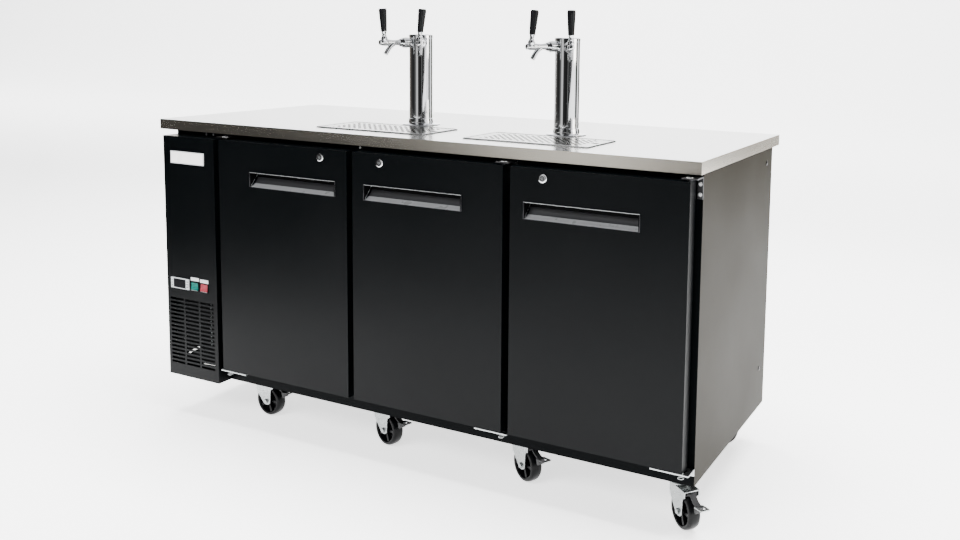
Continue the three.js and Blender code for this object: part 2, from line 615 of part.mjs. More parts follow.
/** Axial fan about its own axis: hub and pitched blades. */
function fan() {
  const hub = bar('y', FAN.hub, 0, FAN.depth, [0, 0], 16);
  const blades = [];
  for (let k = 0; k < FAN.blades; k += 1) {
    const { halfWidth, halfThickness, pitchDeg, root } = BLADE;
    const blade = box(-halfWidth, halfWidth, -halfThickness, halfThickness, FAN.hub - root, FAN.radius)
      .rotate([0, 0, pitchDeg])
      .translate([0, FAN.depth / 2, 0])
      .rotate([0, (360 / FAN.blades) * k, 0]);
    blades.push(blade);
  }
  return join(hub, ...blades);
}

/** Evaporator housing on the cavity's left wall, with air slots on its face. */
function evaporator() {
  const { thickness, front, back, bottom, top } = EVAPORATOR;
  const x0 = cavityLeft + GAP;
  const housing = box(x0, x0 + thickness, front, back, bottom, top);
  const slots = [];
  const { margin, pitch, height, inset, depth } = AIR_SLOT;
  for (let z = bottom + margin; z < top - margin; z += pitch) {
    slots.push(box(
      x0 + thickness - depth, x0 + thickness + OVERCUT, front + inset, back - inset, z, z + height));
  }
  return cut(housing, ...slots);
}

add('compressor', FINISH.machineBlack, compressor());
add('condenser', FINISH.aluminium, condenser());
const fanMesh = add('condenser_fan', FINISH.aluminium, fan());
fanMesh.position.set(condenserX, fanFront, FAN.z);
add('evaporator', FINISH.aluminium, evaporator());

// ---------------------------------------------------------------- casters

/** Fork about the swivel axis: race, bridge, two legs, axle bolt and the pedal's pin. */
function casterFork(brake) {
  const raceTop = CABINET.bottom - CASTER_PLATE.thickness - GAP;
  const halfGap = FORK.inner / 2;
  const race = turned([
    [0, FORK.bridge], [20, FORK.bridge], [FORK.collar, FORK.bridge + 5], [22, raceTop], [0, raceTop],
  ], 14);
  const outer = halfGap + FORK.sheet;
  const bridge = box(FORK.front, FORK.rear, -outer, outer, FORK.bridge, FORK.bridge + FORK.sheet);
  const legOutline = [[FORK.front, FORK.bridge + 1], [FORK.front + 1, 82], [17, 45], [22, 40], [42, 40],
    [47, 45], [49, 90], [FORK.rear, 96], [FORK.rear, FORK.bridge + 1]];
  const legs = [[-outer, -halfGap], [halfGap, outer]].map(([y0, y1]) => profileAlongY(legOutline, y0, y1));
  const centre = [WHEEL.lead, WHEEL.radius];
  const boltEnd = halfGap + FORK.boltReach;
  const axle = bar('y', WHEEL.bore - 0.5, -boltEnd, boltEnd, centre, 8);
  const heads = [[-boltEnd, 1 - outer], [outer - 1, boltEnd]].map(
    ([y0, y1]) => bar('y', FORK.boltHead, y0, y1, centre, 6));
  const parts = [race, bridge, ...legs, axle, ...heads];
  if (brake) {
    parts.push(bar('y', PEDAL_PIN.radius, 1 - outer, outer - 1, [PEDAL_PIN.u, PEDAL_PIN.z], 8));
  }
  return join(...parts);
}

/** Wheel about its axle along Y: crowned tread, rim, web and hub. */
function casterWheel() {
  const { radius, width, bore } = WHEEL;
  const half = width / 2;
  return turnedRing([
    [bore, -half], [bore, half], [13, half], [14, 7], [37, 7], [38, half], [radius, half - 2],
    [radius, 2 - half], [38, -half], [37, -7], [14, -7], [13, -half],
  ], 16).rotate([90, 0, 0]);
}

/** Brake pedal about its pin: a knuckle, an arm clear of the tread, a toe tab and a brake block under it. */
function casterPedal() {
  const half = FORK.inner / 2 - 4;
  const knuckle = bar('y', PEDAL.knuckle, -half, half, [0, 0], 10);
  const arm = profileAlongY([[-2, 4.2], [2, 5], [11, 2], [26, -10], [40, -14.3], [40, -18.3], [38, -18.5],
    [24, -14], [10, -3], [2, -5], [-2, -4.2]], -PEDAL.arm, PEDAL.arm);
  const tab = profileAlongY([[38, -14.5], [72, -11], [72, -14.5], [38, -18.5]], -PEDAL.tab, PEDAL.tab);
  const block = profileAlongY([[34, -16], [46, -16], [44, -33], [37, -33]], -PEDAL.block, PEDAL.block);
  const bore = bar('y', PEDAL_PIN.radius + PEDAL_PIN.play, -half - OVERCUT, half + OVERCUT, [0, 0], 8);
  return cut(join(knuckle, arm, tab, block), bore);
}

for (const [i, caster] of CASTERS.entries()) {
  const number = i + 1;
  const swivel = placeAt(caster.x, caster.y, 0, caster.yawDeg);
  add(`caster_fork_${number}`, FINISH.zinc, casterFork(caster.brake), swivel);
  const wheel = add(`caster_wheel_${number}`, FINISH.tread, casterWheel(), swivel);
  wheel.position.set(WHEEL.lead, 0, WHEEL.radius);
  if (caster.brake) {
    const pedal = add(`caster_pedal_${number}`, FINISH.zinc, casterPedal(), swivel);
    pedal.position.set(PEDAL_PIN.u, 0, PEDAL_PIN.z);
  }
}

// ---------------------------------------------------------------- origin

const bounds = new THREE.Box3().setFromObject(kegerator, true);
kegerator.position.set(-(bounds.min.x + bounds.max.x) / 2, -(bounds.min.y + bounds.max.y) / 2, -bounds.min.z);

export default kegerator;
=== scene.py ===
"""Looks for the kegerator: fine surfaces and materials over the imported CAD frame, in metres."""

import json
import math

import bmesh
import bpy
from mathutils import Matrix, Vector


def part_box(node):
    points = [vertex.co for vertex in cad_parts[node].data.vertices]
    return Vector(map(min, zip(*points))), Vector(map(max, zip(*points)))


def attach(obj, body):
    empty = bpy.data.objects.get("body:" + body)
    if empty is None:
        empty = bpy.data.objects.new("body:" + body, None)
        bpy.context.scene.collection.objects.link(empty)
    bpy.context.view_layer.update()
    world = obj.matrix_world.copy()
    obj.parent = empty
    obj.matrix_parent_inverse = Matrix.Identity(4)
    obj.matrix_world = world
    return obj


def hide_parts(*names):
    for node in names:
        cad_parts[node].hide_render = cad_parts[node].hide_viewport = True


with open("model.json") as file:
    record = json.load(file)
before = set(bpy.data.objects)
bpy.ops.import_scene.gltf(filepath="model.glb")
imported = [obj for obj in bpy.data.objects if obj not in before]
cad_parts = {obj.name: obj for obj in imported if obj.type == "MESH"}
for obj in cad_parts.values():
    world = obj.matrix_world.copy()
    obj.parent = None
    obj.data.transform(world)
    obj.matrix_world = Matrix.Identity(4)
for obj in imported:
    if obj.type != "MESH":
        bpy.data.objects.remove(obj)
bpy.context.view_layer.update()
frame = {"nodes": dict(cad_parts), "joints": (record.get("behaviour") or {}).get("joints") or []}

MM = 0.001
ROOT = "cabinet"
DOORS = (1, 2, 3)
TAPS = (1, 2, 3, 4)
COLUMNS = (1, 2)
CASTERS = (1, 2, 3, 4, 5, 6)
BRAKED = (1, 2, 3, 4)

JOINTS = {joint["name"]: joint for joint in frame["joints"]}


def mid(node):
    """The middle of a CAD node's box."""
    low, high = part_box(node)
    return (low + high) / 2


def joint_at(name):
    """Where a joint lies."""
    return Vector(JOINTS[name]["pos_m"])


def mm(points):
    """Pairs of numbers in millimetres, as metres."""
    return [(a * MM, b * MM) for a, b in points]


def lerp(a, b, t):
    return a + (b - a) * t


def linked(name, data):
    """A new object in the scene."""
    made = bpy.data.objects.new(name, data)
    bpy.context.scene.collection.objects.link(made)
    return made


# ---------------------------------------------------------------- materials

# A noise pattern lies mostly between these two values, so they are its dark and light ends.
NOISE_LOW, NOISE_HIGH = 0.3, 0.7


def shader_input(made, name):
    """A socket of a material's Principled shader."""
    return made.node_tree.nodes["Principled BSDF"].inputs[name]


def material(title, color, roughness, metallic=0.0, coat=0.0):
    """A plain Principled material, for detail to be added to."""
    made = bpy.data.materials.new(title)
    made.use_nodes = True
    looks = {"Base Color": (*color, 1), "Roughness": roughness, "Metallic": metallic, "Coat Weight": coat}
    for name, value in looks.items():
        shader_input(made, name).default_value = value
    return made


def pattern(made, scale, detail=4.0, stretch=(1, 1, 1)):
    """A noise pattern in object space, stretched along the axes."""
    nodes, links = made.node_tree.nodes, made.node_tree.links
    place = nodes.new("ShaderNodeTexCoord")
    mapping = nodes.new("ShaderNodeMapping")
    mapping.inputs["Scale"].default_value = stretch
    noise = nodes.new("ShaderNodeTexNoise")
    noise.inputs["Scale"].default_value = scale
    noise.inputs["Detail"].default_value = detail
    links.new(place.outputs["Object"], mapping.inputs["Vector"])
    links.new(mapping.outputs["Vector"], noise.inputs["Vector"])
    return noise.outputs["Fac"]


def vary_roughness(made, source, low, high):
    """Makes the roughness follow a pattern, between two values."""
    spread = made.node_tree.nodes.new("ShaderNodeMapRange")
    limits = {"From Min": NOISE_LOW, "From Max": NOISE_HIGH, "To Min": low, "To Max": high}
    for name, limit in limits.items():
        spread.inputs[name].default_value = limit
    made.node_tree.links.new(source, spread.inputs["Value"])
    made.node_tree.links.new(spread.outputs["Result"], shader_input(made, "Roughness"))


def color_ramp(nodes, stops):
    """A colour ramp node with its stops, each a position and a colour."""
    ramp = nodes.new("ShaderNodeValToRGB")
    while len(ramp.color_ramp.elements) < len(stops):
        ramp.color_ramp.elements.new(0.5)
    for element, (position, color) in zip(ramp.color_ramp.elements, stops):
        element.position = position
        element.color = (*color, 1)
    return ramp


def vary_color(made, source, dark, light):
    """Blends the base colour between two tones along a pattern."""
    ramp = color_ramp(made.node_tree.nodes, [(NOISE_LOW, dark), (NOISE_HIGH, light)])
    made.node_tree.links.new(source, ramp.inputs["Fac"])
    made.node_tree.links.new(ramp.outputs["Color"], shader_input(made, "Base Color"))


def bump(made, source, distance, strength=1.0):
    """Raises the surface along a pattern."""
    raised = made.node_tree.nodes.new("ShaderNodeBump")
    raised.inputs["Strength"].default_value = strength
    raised.inputs["Distance"].default_value = distance
    made.node_tree.links.new(source, raised.inputs["Height"])
    made.node_tree.links.new(raised.outputs["Normal"], shader_input(made, "Normal"))


def powder_coat(name, color, roughness, ior):
    """Satin powder coat: faint orange peel and a little handling haze."""
    made = material(name, color, roughness)
    shader_input(made, "IOR").default_value = ior
    bump(made, pattern(made, 900, 2), 0.00005, 0.5)
    vary_roughness(made, pattern(made, 3, 5), roughness - 0.03, roughness + 0.04)
    return made


def brushed(name, color, roughness, axis, depth=0.00001, spread=0.06):
    """Brushed metal, its scratches running along one axis."""
    made = material(name, color, roughness, 1.0)
    stretch = [1.0, 1.0, 1.0]
    stretch["xyz".index(axis)] = 0.012
    grain = pattern(made, 1600, 3, stretch)
    bump(made, grain, depth, 0.25)
    vary_roughness(made, grain, roughness - spread, roughness + spread)
    cloud = pattern(made, 2.2, 4)
    vary_color(made, cloud, [c * 0.94 for c in color], color)
    return made


def paint_light_by_facing(made, axis, away, toward):
    """Colours a surface by how far it faces along an axis: painted light and shade, one side lighter than
    another.
    """
    nodes, links = made.node_tree.nodes, made.node_tree.links
    split = nodes.new("ShaderNodeSeparateXYZ")
    links.new(nodes.new("ShaderNodeNewGeometry").outputs["Normal"], split.inputs["Vector"])
    blend = nodes.new("ShaderNodeMix")
    blend.data_type = "RGBA"
    links.new(split.outputs[axis], blend.inputs["Factor"])
    # Sockets 6 and 7 are the mix's two colours, and output 2 is its colour result.
    blend.inputs[6].default_value = (*away, 1)
    blend.inputs[7].default_value = (*toward, 1)
    links.new(blend.outputs[2], shader_input(made, "Base Color"))


def zinc_plate(name, color, roughness):
    """Bright zinc plating, clouded and slightly uneven."""
    made = material(name, color, roughness, 1.0)
    cloud = pattern(made, 60, 6)
    vary_color(made, cloud, [c * 0.86 for c in color], color)
    vary_roughness(made, pattern(made, 140, 4), roughness - 0.08, roughness + 0.12)
    bump(made, pattern(made, 500, 3), 0.00006, 0.4)
    return made


def moulded(name, color, roughness, grain=700, depth=0.00006):
    """Moulded plastic or rubber with a fine grain."""
    made = material(name, color, roughness)
    bump(made, pattern(made, grain, 2), depth, 0.5)
    vary_roughness(made, pattern(made, 25, 4), roughness - 0.05, roughness + 0.07)
    return made


def lens(name, color):
    """Coloured rocker: glossy, a little uneven in tone, with a faint painted glow standing in for light
    through a translucent cap.
    """
    made = material(name, color, 0.22, coat=0.4)
    vary_color(made, pattern(made, 90, 2), [c * 0.8 for c in color], color)
    # Painted glow: the rocker gives off a little light, though it is no lamp.
    shader_input(made, "Emission Color").default_value = (*color, 1)
    shader_input(made, "Emission Strength").default_value = 0.06
    return made


PAINT = powder_coat("black_powder_coat", (0.0005, 0.0009, 0.0012), 0.36, 1.17)
# Black coat with painted light: faces that look right are lighter and warmer, as the side lamp falls there.
COAT_WITH_PAINTED_SIDE_LIGHT = powder_coat("black_coat_painted_side_light", (0.011, 0.0095, 0.0055), 0.42, 1.1)
paint_light_by_facing(COAT_WITH_PAINTED_SIDE_LIGHT, "X", (0.0005, 0.0009, 0.0012), (0.012, 0.0098, 0.005))
TOP_STEEL = brushed("worktop_steel_painted_edge_light", (0.66, 0.655, 0.64), 0.24, "x", 0.000002, 0.015)
# Painted light: the worktop's edges and underside are lighter and warmer than its top.
paint_light_by_facing(TOP_STEEL, "Z", (0.8, 0.75, 0.65), (0.64, 0.64, 0.63))
TRAY_STEEL = brushed("tray_steel", (0.46, 0.46, 0.45), 0.24, "x")
LINER_STEEL = brushed("liner_steel", (0.62, 0.63, 0.64), 0.34, "z")
PULL_STEEL = moulded("pull_satin", (0.2, 0.205, 0.21), 0.3, 900)
PULL_RIM = brushed("pull_rim", (0.07, 0.07, 0.075), 0.3, "x")
# Darker copy of the pull's satin: painted shade at the back of its pocket.
PULL_PAINTED_SHADE = moulded("pull_painted_shade", (0.012, 0.0125, 0.014), 0.4, 900)
CHROME = material("polished_chrome", (0.82, 0.83, 0.84), 0.04, 1.0)
vary_roughness(CHROME, pattern(CHROME, 40, 4), 0.03, 0.07)
FAUCET_CHROME = material("cast_chrome", (0.6, 0.61, 0.62), 0.05, 1.0)
vary_roughness(FAUCET_CHROME, pattern(FAUCET_CHROME, 60, 4), 0.04, 0.1)
ZINC = zinc_plate("zinc_plate", (0.42, 0.44, 0.44), 0.28)
# Zinc screw heads and washers drawn in a pale non-metal: their shine is painted in rather than reflected.
SCREW_PAINTED_SHINE = moulded("screw_painted_shine", (0.45, 0.46, 0.46), 0.3, 300)
GRIP = powder_coat("grip_black", (0.003, 0.003, 0.0035), 0.25, 1.3)
BLACK_PLASTIC = powder_coat("wheel_black", (0.0015, 0.0016, 0.002), 0.26, 1.22)
# Painted shade: the top hinge brackets, drawn much darker than the zinc of the bottom ones.
HINGE_STEEL_PAINTED_SHADE = brushed("hinge_steel_painted_shade", (0.1, 0.1, 0.105), 0.32, "z")
GASKET = moulded("gasket_black", (0.013, 0.013, 0.014), 0.62, 500)
BEZEL = moulded("bezel_grey", (0.42, 0.44, 0.45), 0.4, 500)
DISPLAY = powder_coat("display_black", (0.002, 0.002, 0.003), 0.3, 1.2)
GREEN = lens("rocker_green", (0.004, 0.11, 0.09))
RED = lens("rocker_red", (0.22, 0.03, 0.042))
LABEL = moulded("label_stock", (0.5, 0.51, 0.51), 0.5, 200)
PLATE = moulded("plate_white", (0.82, 0.81, 0.79), 0.3, 150)
ALUMINIUM = brushed("mill_aluminium", (0.45, 0.47, 0.48), 0.38, "z")
ENAMEL = moulded("machine_enamel", (0.012, 0.012, 0.013), 0.45, 90)
# Flat black: the thermostat keys' own colour, painted shade in the pull pockets and tray wells, and the dark
# sheet behind the grille.
BLACK_AND_PAINTED_SHADE = powder_coat("black_and_painted_shade", (0.001, 0.001, 0.0012), 0.6, 1.12)
LEAD = moulded("lead_grey", (0.09, 0.1, 0.1), 0.5, 300)
DOOR_LINER = moulded("door_liner", (0.55, 0.56, 0.56), 0.35, 120)

CAD_FINISHES = {
    "cabinet_shell": COAT_WITH_PAINTED_SIDE_LIGHT, "machine_bay": COAT_WITH_PAINTED_SIDE_LIGHT, "grille_panel": PAINT, "worktop": TOP_STEEL,
    "thermostat": BEZEL, "badge_plate": PLATE, "switch_green": GREEN, "switch_red": RED,
    "compressor": ENAMEL, "condenser": ALUMINIUM, "condenser_fan": ALUMINIUM, "evaporator": ALUMINIUM,
}
NUMBERED_FINISHES = (
    (DOORS, {"door": PAINT, "door_gasket": GASKET, "door_pull": PULL_STEEL, "door_lock": CHROME,
             "hinge_top": HINGE_STEEL_PAINTED_SHADE, "hinge_bottom": ZINC}),
    (COLUMNS, {"column": CHROME, "drip_tray": TRAY_STEEL, "drip_grate": TRAY_STEEL}),
    (TAPS, {"faucet": FAUCET_CHROME, "tap_handle": GRIP}),
    (CASTERS, {"caster_fork": ZINC, "caster_wheel": BLACK_PLASTIC}),
    (BRAKED, {"caster_pedal": ZINC}),
)
for numbers, finishes in NUMBERED_FINISHES:
    for number in numbers:
        CAD_FINISHES.update({f"{kind}_{number}": finish for kind, finish in finishes.items()})


BEVEL_SEGMENTS = 2
BEVEL_ANGLE = math.radians(35)             # gentler corners than this stay as they are


def soften(target, width):
    """Rounds an object's edges a little, as pressed sheet has."""
    rounding = target.modifiers.new("edges", "BEVEL")
    rounding.width = width
    rounding.segments = BEVEL_SEGMENTS
    rounding.limit_method = "ANGLE"
    rounding.angle_limit = BEVEL_ANGLE
    rounding.use_clamp_overlap = True


EDGES = {"worktop": 1.6 * MM, "cabinet_shell": 1.2 * MM, "machine_bay": 0.6 * MM, "door": 1.8 * MM,
         "drip_tray_1": 1 * MM, "drip_tray_2": 1 * MM}
for node, finish in CAD_FINISHES.items():
    cad_object = frame["nodes"][node]
    cad_object.data.materials.clear()
    cad_object.data.materials.append(finish)
    kind = "door" if node in ("door_1", "door_2", "door_3") else node
    if kind in EDGES:
        soften(cad_object, EDGES[kind])


# ---------------------------------------------------------------- shape helpers

def along(direction, centre):
    """A placement whose Z lies along a direction."""
    return Matrix.Translation(centre) @ Vector(direction).to_track_quat("Z", "Y").to_matrix().to_4x4()


class Shape:
    """Points and faces gathered from several simple forms."""

    def __init__(self):
        self.verts = []
        self.faces = []

    def add(self, verts, faces, place=Matrix()):
        start = len(self.verts)
        self.verts += [place @ Vector(v) for v in verts]
        self.faces += [[start + k for k in face] for face in faces]
        return self

    def box(self, low, high, place=Matrix()):
        verts = [(x, y, z) for x in (low[0], high[0]) for y in (low[1], high[1]) for z in (low[2], high[2])]
        faces = [(0, 1, 3, 2), (4, 6, 7, 5), (0, 4, 5, 1), (2, 3, 7, 6), (0, 2, 6, 4), (1, 5, 7, 3)]
        return self.add(verts, faces, place)

    def lathe(self, profile, segments, place=Matrix(), closed=False):
        """Turns (radius, height) points about Z. An open profile starts and ends on the axis."""
        count = len(profile)
        verts = []
        for k in range(segments):
            angle = 2 * math.pi * k / segments
            verts += [(r * math.cos(angle), r * math.sin(angle), z) for r, z in profile]
        faces = []
        for k in range(segments):
            a, b = k * count, ((k + 1) % segments) * count
            for i in range(count if closed else count - 1):
                j = (i + 1) % count
                face = [a + i, b + i, b + j, a + j]
                if profile[i][0] < 1e-9:
                    face = [a + i, b + j, a + j]
                elif profile[j][0] < 1e-9:
                    face = [a + i, b + i, a + j]
                faces.append(face)
        return self.add(verts, faces, place)

    def prism(self, outline, low, high, place=Matrix()):
        """Carries an outline of (x, y) points from Z low to Z high."""
        count = len(outline)
        verts = [(x, y, low) for x, y in outline] + [(x, y, high) for x, y in outline]
        faces = [tuple(range(count - 1, -1, -1)), tuple(range(count, 2 * count))]
        faces += [(k, (k + 1) % count, count + (k + 1) % count, count + k) for k in range(count)]
        return self.add(verts, faces, place)

    def loop(self, corners, radius, sides):
        """A closed ring of round bars, one from each corner to the next."""
        for start, end in zip(corners, corners[1:] + corners[:1]):
            self.tube([start, end], [radius, radius], sides)
        return self

    def tube(self, points, radii, sides, place=Matrix()):
        """A round bar through points, with its own radius at each."""
        points = [Vector(p) for p in points]
        verts = []
        for k, point in enumerate(points):
            ahead = points[min(k + 1, len(points) - 1)] - points[max(k - 1, 0)]
            turn = ahead.to_track_quat("Z", "Y")
            for s in range(sides):
                angle = 2 * math.pi * s / sides
                verts.append(point + turn @ Vector((math.cos(angle), math.sin(angle), 0)) * radii[k])
        return self.rings(verts, sides, place)

    def rings(self, verts, sides, place=Matrix()):
        """A skin over one ring of points after another, with a flat face at either end."""
        last = len(verts) - sides
        faces = []
        for start in range(0, last, sides):
            for s in range(sides):
                t = (s + 1) % sides
                faces.append((start + s, start + t, start + sides + t, start + sides + s))
        faces.append(tuple(range(sides - 1, -1, -1)))
        faces.append(tuple(last + s for s in range(sides)))
        return self.add(verts, faces, place)

    def screw(self, centre, facing, radius, height):
        """A domed pan head, facing along an axis."""
        place = along(facing, centre)
        shares = [(0, 1), (0.5, 0.95), (0.85, 0.65), (1, 0.2), (1, 0), (0, 0)]
        return self.lathe([(radius * r, height * z) for r, z in shares], 20, place)

    def make(self, name, finish, body, slot, replaces=(), crease=32, edge=0.0):
        """A new piece, smooth except over its creases, riding on a body."""
        mesh = bpy.data.meshes.new(name)
        mesh.from_pydata([tuple(v) for v in self.verts], [], self.faces)
        welded = bmesh.new()
        welded.from_mesh(mesh)
        bmesh.ops.remove_doubles(welded, verts=welded.verts, dist=1e-6)
        bmesh.ops.recalc_face_normals(welded, faces=welded.faces)
        welded.to_mesh(mesh)
        welded.free()
        mesh.shade_smooth()
        mesh.set_sharp_from_angle(angle=math.radians(crease))
        mesh.materials.append(finish)
        made = linked(name, mesh)
        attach(made, body)
        if edge:
            soften(made, edge)
        if replaces:
            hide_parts(*replaces)
        return made


# ---------------------------------------------------------------- camera, lights and stage

LENS = 35.985                              # on a 36 mm sensor
SHIFT = (-0.11, -0.14)
AZIMUTH, ELEVATION, ROLL = math.radians(25.686), math.radians(6.35), math.radians(1.058)
EYE = Vector((2.579, -2.186, 0.314))       # from the worktop's front left top corner


def camera():
    """The photograph's viewpoint, with the lens shifted as its framing needs."""
    back = Vector((math.sin(AZIMUTH) * math.cos(ELEVATION), -math.cos(AZIMUTH) * math.cos(ELEVATION),
                   math.sin(ELEVATION)))
    right = Vector((math.cos(AZIMUTH), math.sin(AZIMUTH), 0))
    up = back.cross(right)
    rolled_right = right * math.cos(ROLL) + up * math.sin(ROLL)
    rolled_up = up * math.cos(ROLL) - right * math.sin(ROLL)
    low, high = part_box("worktop")
    lens_data = bpy.data.cameras.new("camera")
    lens_data.sensor_width = 36
    lens_data.lens = LENS
    lens_data.shift_x, lens_data.shift_y = SHIFT
    made = linked("camera", lens_data)
    turn = Matrix((rolled_right, rolled_up, back)).transposed().to_4x4()
    made.matrix_world = Matrix.Translation(Vector((low.x, low.y, high.z)) + EYE) @ turn
    bpy.context.scene.camera = made


def softbox(name, centre, aim, size, power, color=(1, 1, 1)):
    """A rectangular light in watts, at a centre and turned to the point that it aims at."""
    light = bpy.data.lights.new(name, "AREA")
    light.shape = "RECTANGLE"
    light.size, light.size_y = size
    light.energy = power
    light.color = color
    made = linked(name, light)
    made.location = centre
    made.rotation_mode = "QUATERNION"
    made.rotation_quaternion = (Vector(aim) - Vector(centre)).to_track_quat("-Z", "Y")
    return made


# Tones round the compass, as a share of a turn: 0 and 1 are the front, 0.25 the left, 0.5 the back and
# 0.75 the right.
SURROUND = ((0.0, 0.02), (0.06, 0.03), (0.09, 0.9), (0.12, 0.9), (0.15, 0.04), (0.24, 0.06), (0.33, 0.7),
            (0.5, 1.0), (0.68, 0.9), (0.70, 0.04), (0.715, 0.04), (0.73, 0.8), (0.80, 0.8), (0.82, 0.04),
            (0.90, 0.03), (1.0, 0.02))


def sky():
    """Studio surround for reflections, bright behind the object and dim before it."""
    world = bpy.data.worlds.new("surround")
    world.use_nodes = True
    nodes, links = world.node_tree.nodes, world.node_tree.links
    place = nodes.new("ShaderNodeTexCoord")
    split = nodes.new("ShaderNodeSeparateXYZ")
    links.new(place.outputs["Generated"], split.inputs["Vector"])
    turn = nodes.new("ShaderNodeMath")
    turn.operation = "ARCTAN2"
    links.new(split.outputs["X"], turn.inputs[0])
    links.new(split.outputs["Y"], turn.inputs[1])
    spread = nodes.new("ShaderNodeMapRange")
    spread.inputs["From Min"].default_value = -math.pi
    spread.inputs["From Max"].default_value = math.pi
    links.new(turn.outputs["Value"], spread.inputs["Value"])
    ramp = color_ramp(nodes, [(position, (tone, tone, tone * 1.02)) for position, tone in SURROUND])
    ramp.color_ramp.interpolation = "EASE"
    links.new(spread.outputs["Result"], ramp.inputs["Fac"])
    links.new(ramp.outputs["Color"], nodes["Background"].inputs["Color"])
    nodes["Background"].inputs["Strength"].default_value = 1.9
    # Seen directly, the surround is a plain pale wall.
    plain = nodes.new("ShaderNodeBackground")
    plain.inputs["Color"].default_value = (0.95, 0.95, 0.95, 1)
    plain.inputs["Strength"].default_value = 2.6
    path = nodes.new("ShaderNodeLightPath")
    choose = nodes.new("ShaderNodeMixShader")
    links.new(path.outputs["Is Camera Ray"], choose.inputs["Fac"])
    links.new(nodes["Background"].outputs["Background"], choose.inputs[1])
    links.new(plain.outputs["Background"], choose.inputs[2])
    links.new(choose.outputs["Shader"], nodes["World Output"].inputs["Surface"])
    bpy.context.scene.world = world


def stage():
    """Pale seamless floor that curves up into a backdrop, and soft lights over it."""
    floor_finish = moulded("pale_floor", (0.9, 0.9, 0.9), 0.6, 30, 0.00002)
    # The floor is a lit sheet, which keeps the shadow under the cabinet faint.
    shader_input(floor_finish, "Emission Color").default_value = (1, 1, 1, 1)
    shader_input(floor_finish, "Emission Strength").default_value = 1.7
    front, wall, bend, width, top = -9.0, 9.0, 4.0, 40.0, 9.0
    profile = [(front, 0)]
    steps = 16
    for k in range(steps + 1):
        angle = math.pi / 2 * k / steps
        profile.append((wall + bend * math.sin(angle), bend * (1 - math.cos(angle))))
    profile.append((wall + bend, top))
    verts = [(x, y, z) for x in (-width, width) for y, z in profile]
    count = len(profile)
    faces = [(k, k + 1, count + k + 1, count + k) for k in range(count - 1)]
    mesh = bpy.data.meshes.new("floor")
    mesh.from_pydata(verts, [], faces)
    mesh.shade_smooth()
    mesh.materials.append(floor_finish)
    linked("floor", mesh)
    # The overhead light isn't mirrored, so the worktop keeps its tone when it is seen from above.
    softbox("overhead", (0.3, 0.5, 5.5), (0.3, 0.5, 0), (6.0, 3.0), 1500).visible_glossy = False
    softbox("backdrop", (-9.0, 5.0, 5.5), (-10.0, 12.5, 2.0), (26.0, 2.0), 3200)
    softbox("side", (5.5, 0.6, 2.2), (0.9, 0.3, 0.5), (2.4, 2.6), 140, (1, 0.96, 0.9))
    softbox("front", (-0.6, -4.2, 3.6), (0.1, -0.3, 0.7), (3.5, 1.6), 350)
    cards()


def card(name, corners, tones, height=3.4):
    """Studio card that only reflections see. Each stop along it has a position, a tone and a warmth."""
    verts = [(x, y, z) for x, y in corners for z in (0.0, height)]
    faces = [(2 * k, 2 * k + 1, 2 * k + 3, 2 * k + 2) for k in range(len(corners) - 1)]
    mesh = bpy.data.meshes.new(name)
    mesh.from_pydata(verts, [], faces)
    finish = bpy.data.materials.new(name)
    finish.use_nodes = True
    nodes, links = finish.node_tree.nodes, finish.node_tree.links
    nodes.remove(nodes["Principled BSDF"])
    split = nodes.new("ShaderNodeSeparateXYZ")
    links.new(nodes.new("ShaderNodeTexCoord").outputs["Generated"], split.inputs["Vector"])
    ramp = color_ramp(nodes, [(position, (tone, tone * (1 - 0.5 * warmth), tone * (1 - warmth)))
                              for position, tone, warmth in tones])
    glow = nodes.new("ShaderNodeEmission")
    links.new(split.outputs["X"], ramp.inputs["Fac"])
    links.new(ramp.outputs["Color"], glow.inputs["Color"])
    links.new(glow.outputs["Emission"], nodes["Material Output"].inputs["Surface"])
    mesh.materials.append(finish)
    made = linked(name, mesh)
    made.visible_camera = False
    made.visible_diffuse = False
    made.visible_shadow = False


def cards():
    """The front card keeps the doors' upper halves deep black, and all three streak the chrome."""
    card("front_card", [(-3.2, -0.2), (-1.5, -1.35), (-0.2, -2.3), (1.6, -3.3), (4.2, -3.8)],
         [(0.0, 0.12, 0.2), (0.1, 0.06, 0.1), (0.22, 0.02, 0), (0.28, 0.05, 0), (0.33, 0.2, 0),
          (0.365, 0.8, 0), (0.415, 0.8, 0), (0.44, 0.04, 0), (0.56, 0.02, 0), (0.75, 0.02, 0),
          (0.77, 0.3, 0), (0.8, 0.3, 0), (0.82, 0.02, 0), (1.0, 0.05, 0)])
    card("right_card", [(1.5, 6.0), (9.0, 2.0)],
         [(0.0, 0.62, 0.12), (0.13, 0.55, 0.12), (0.17, 0.03, 0), (0.33, 0.03, 0), (0.38, 2.4, 0),
          (0.48, 2.4, 0), (0.53, 0.04, 0), (0.8, 0.05, 0), (0.9, 0.8, 0)], 6.0)
    card("left_card", [(-7.0, 3.5), (-3.2, -0.2)], [(0.0, 0.04, 0), (1.0, 0.3, 0.2)])


camera()
sky()
stage()


# ---------------------------------------------------------------- columns, faucets and tap handles

COLUMN_RADIUS = 38.1 * MM
# Profiles in millimetres, each point a radius and a height.
FLANGE_RIM = ((-0.6, 0), (0, 0.8), (0, 2), (-1.2, 2.8))                      # from the flange's own radius
FLANGE_COLLAR = ((8, 4.4), (3.4, 5.6), (2.6, 7.4), (2.9, 9), (2.6, 14), (1.7, 15.4), (1.5, 20), (0, 21))
COLUMN_CAP = ((0, -13), (-1, -12.6), (-1, -11.4), (1.2, -11), (1.2, -3), (0.7, -1.4), (-1, -0.3), (-3, 0))
COLUMN_SEAL = ((-3, 0), (0.6, 0), (0.8, 0.6), (0, 1.4), (-3, 1.4))           # from the flange's own radius


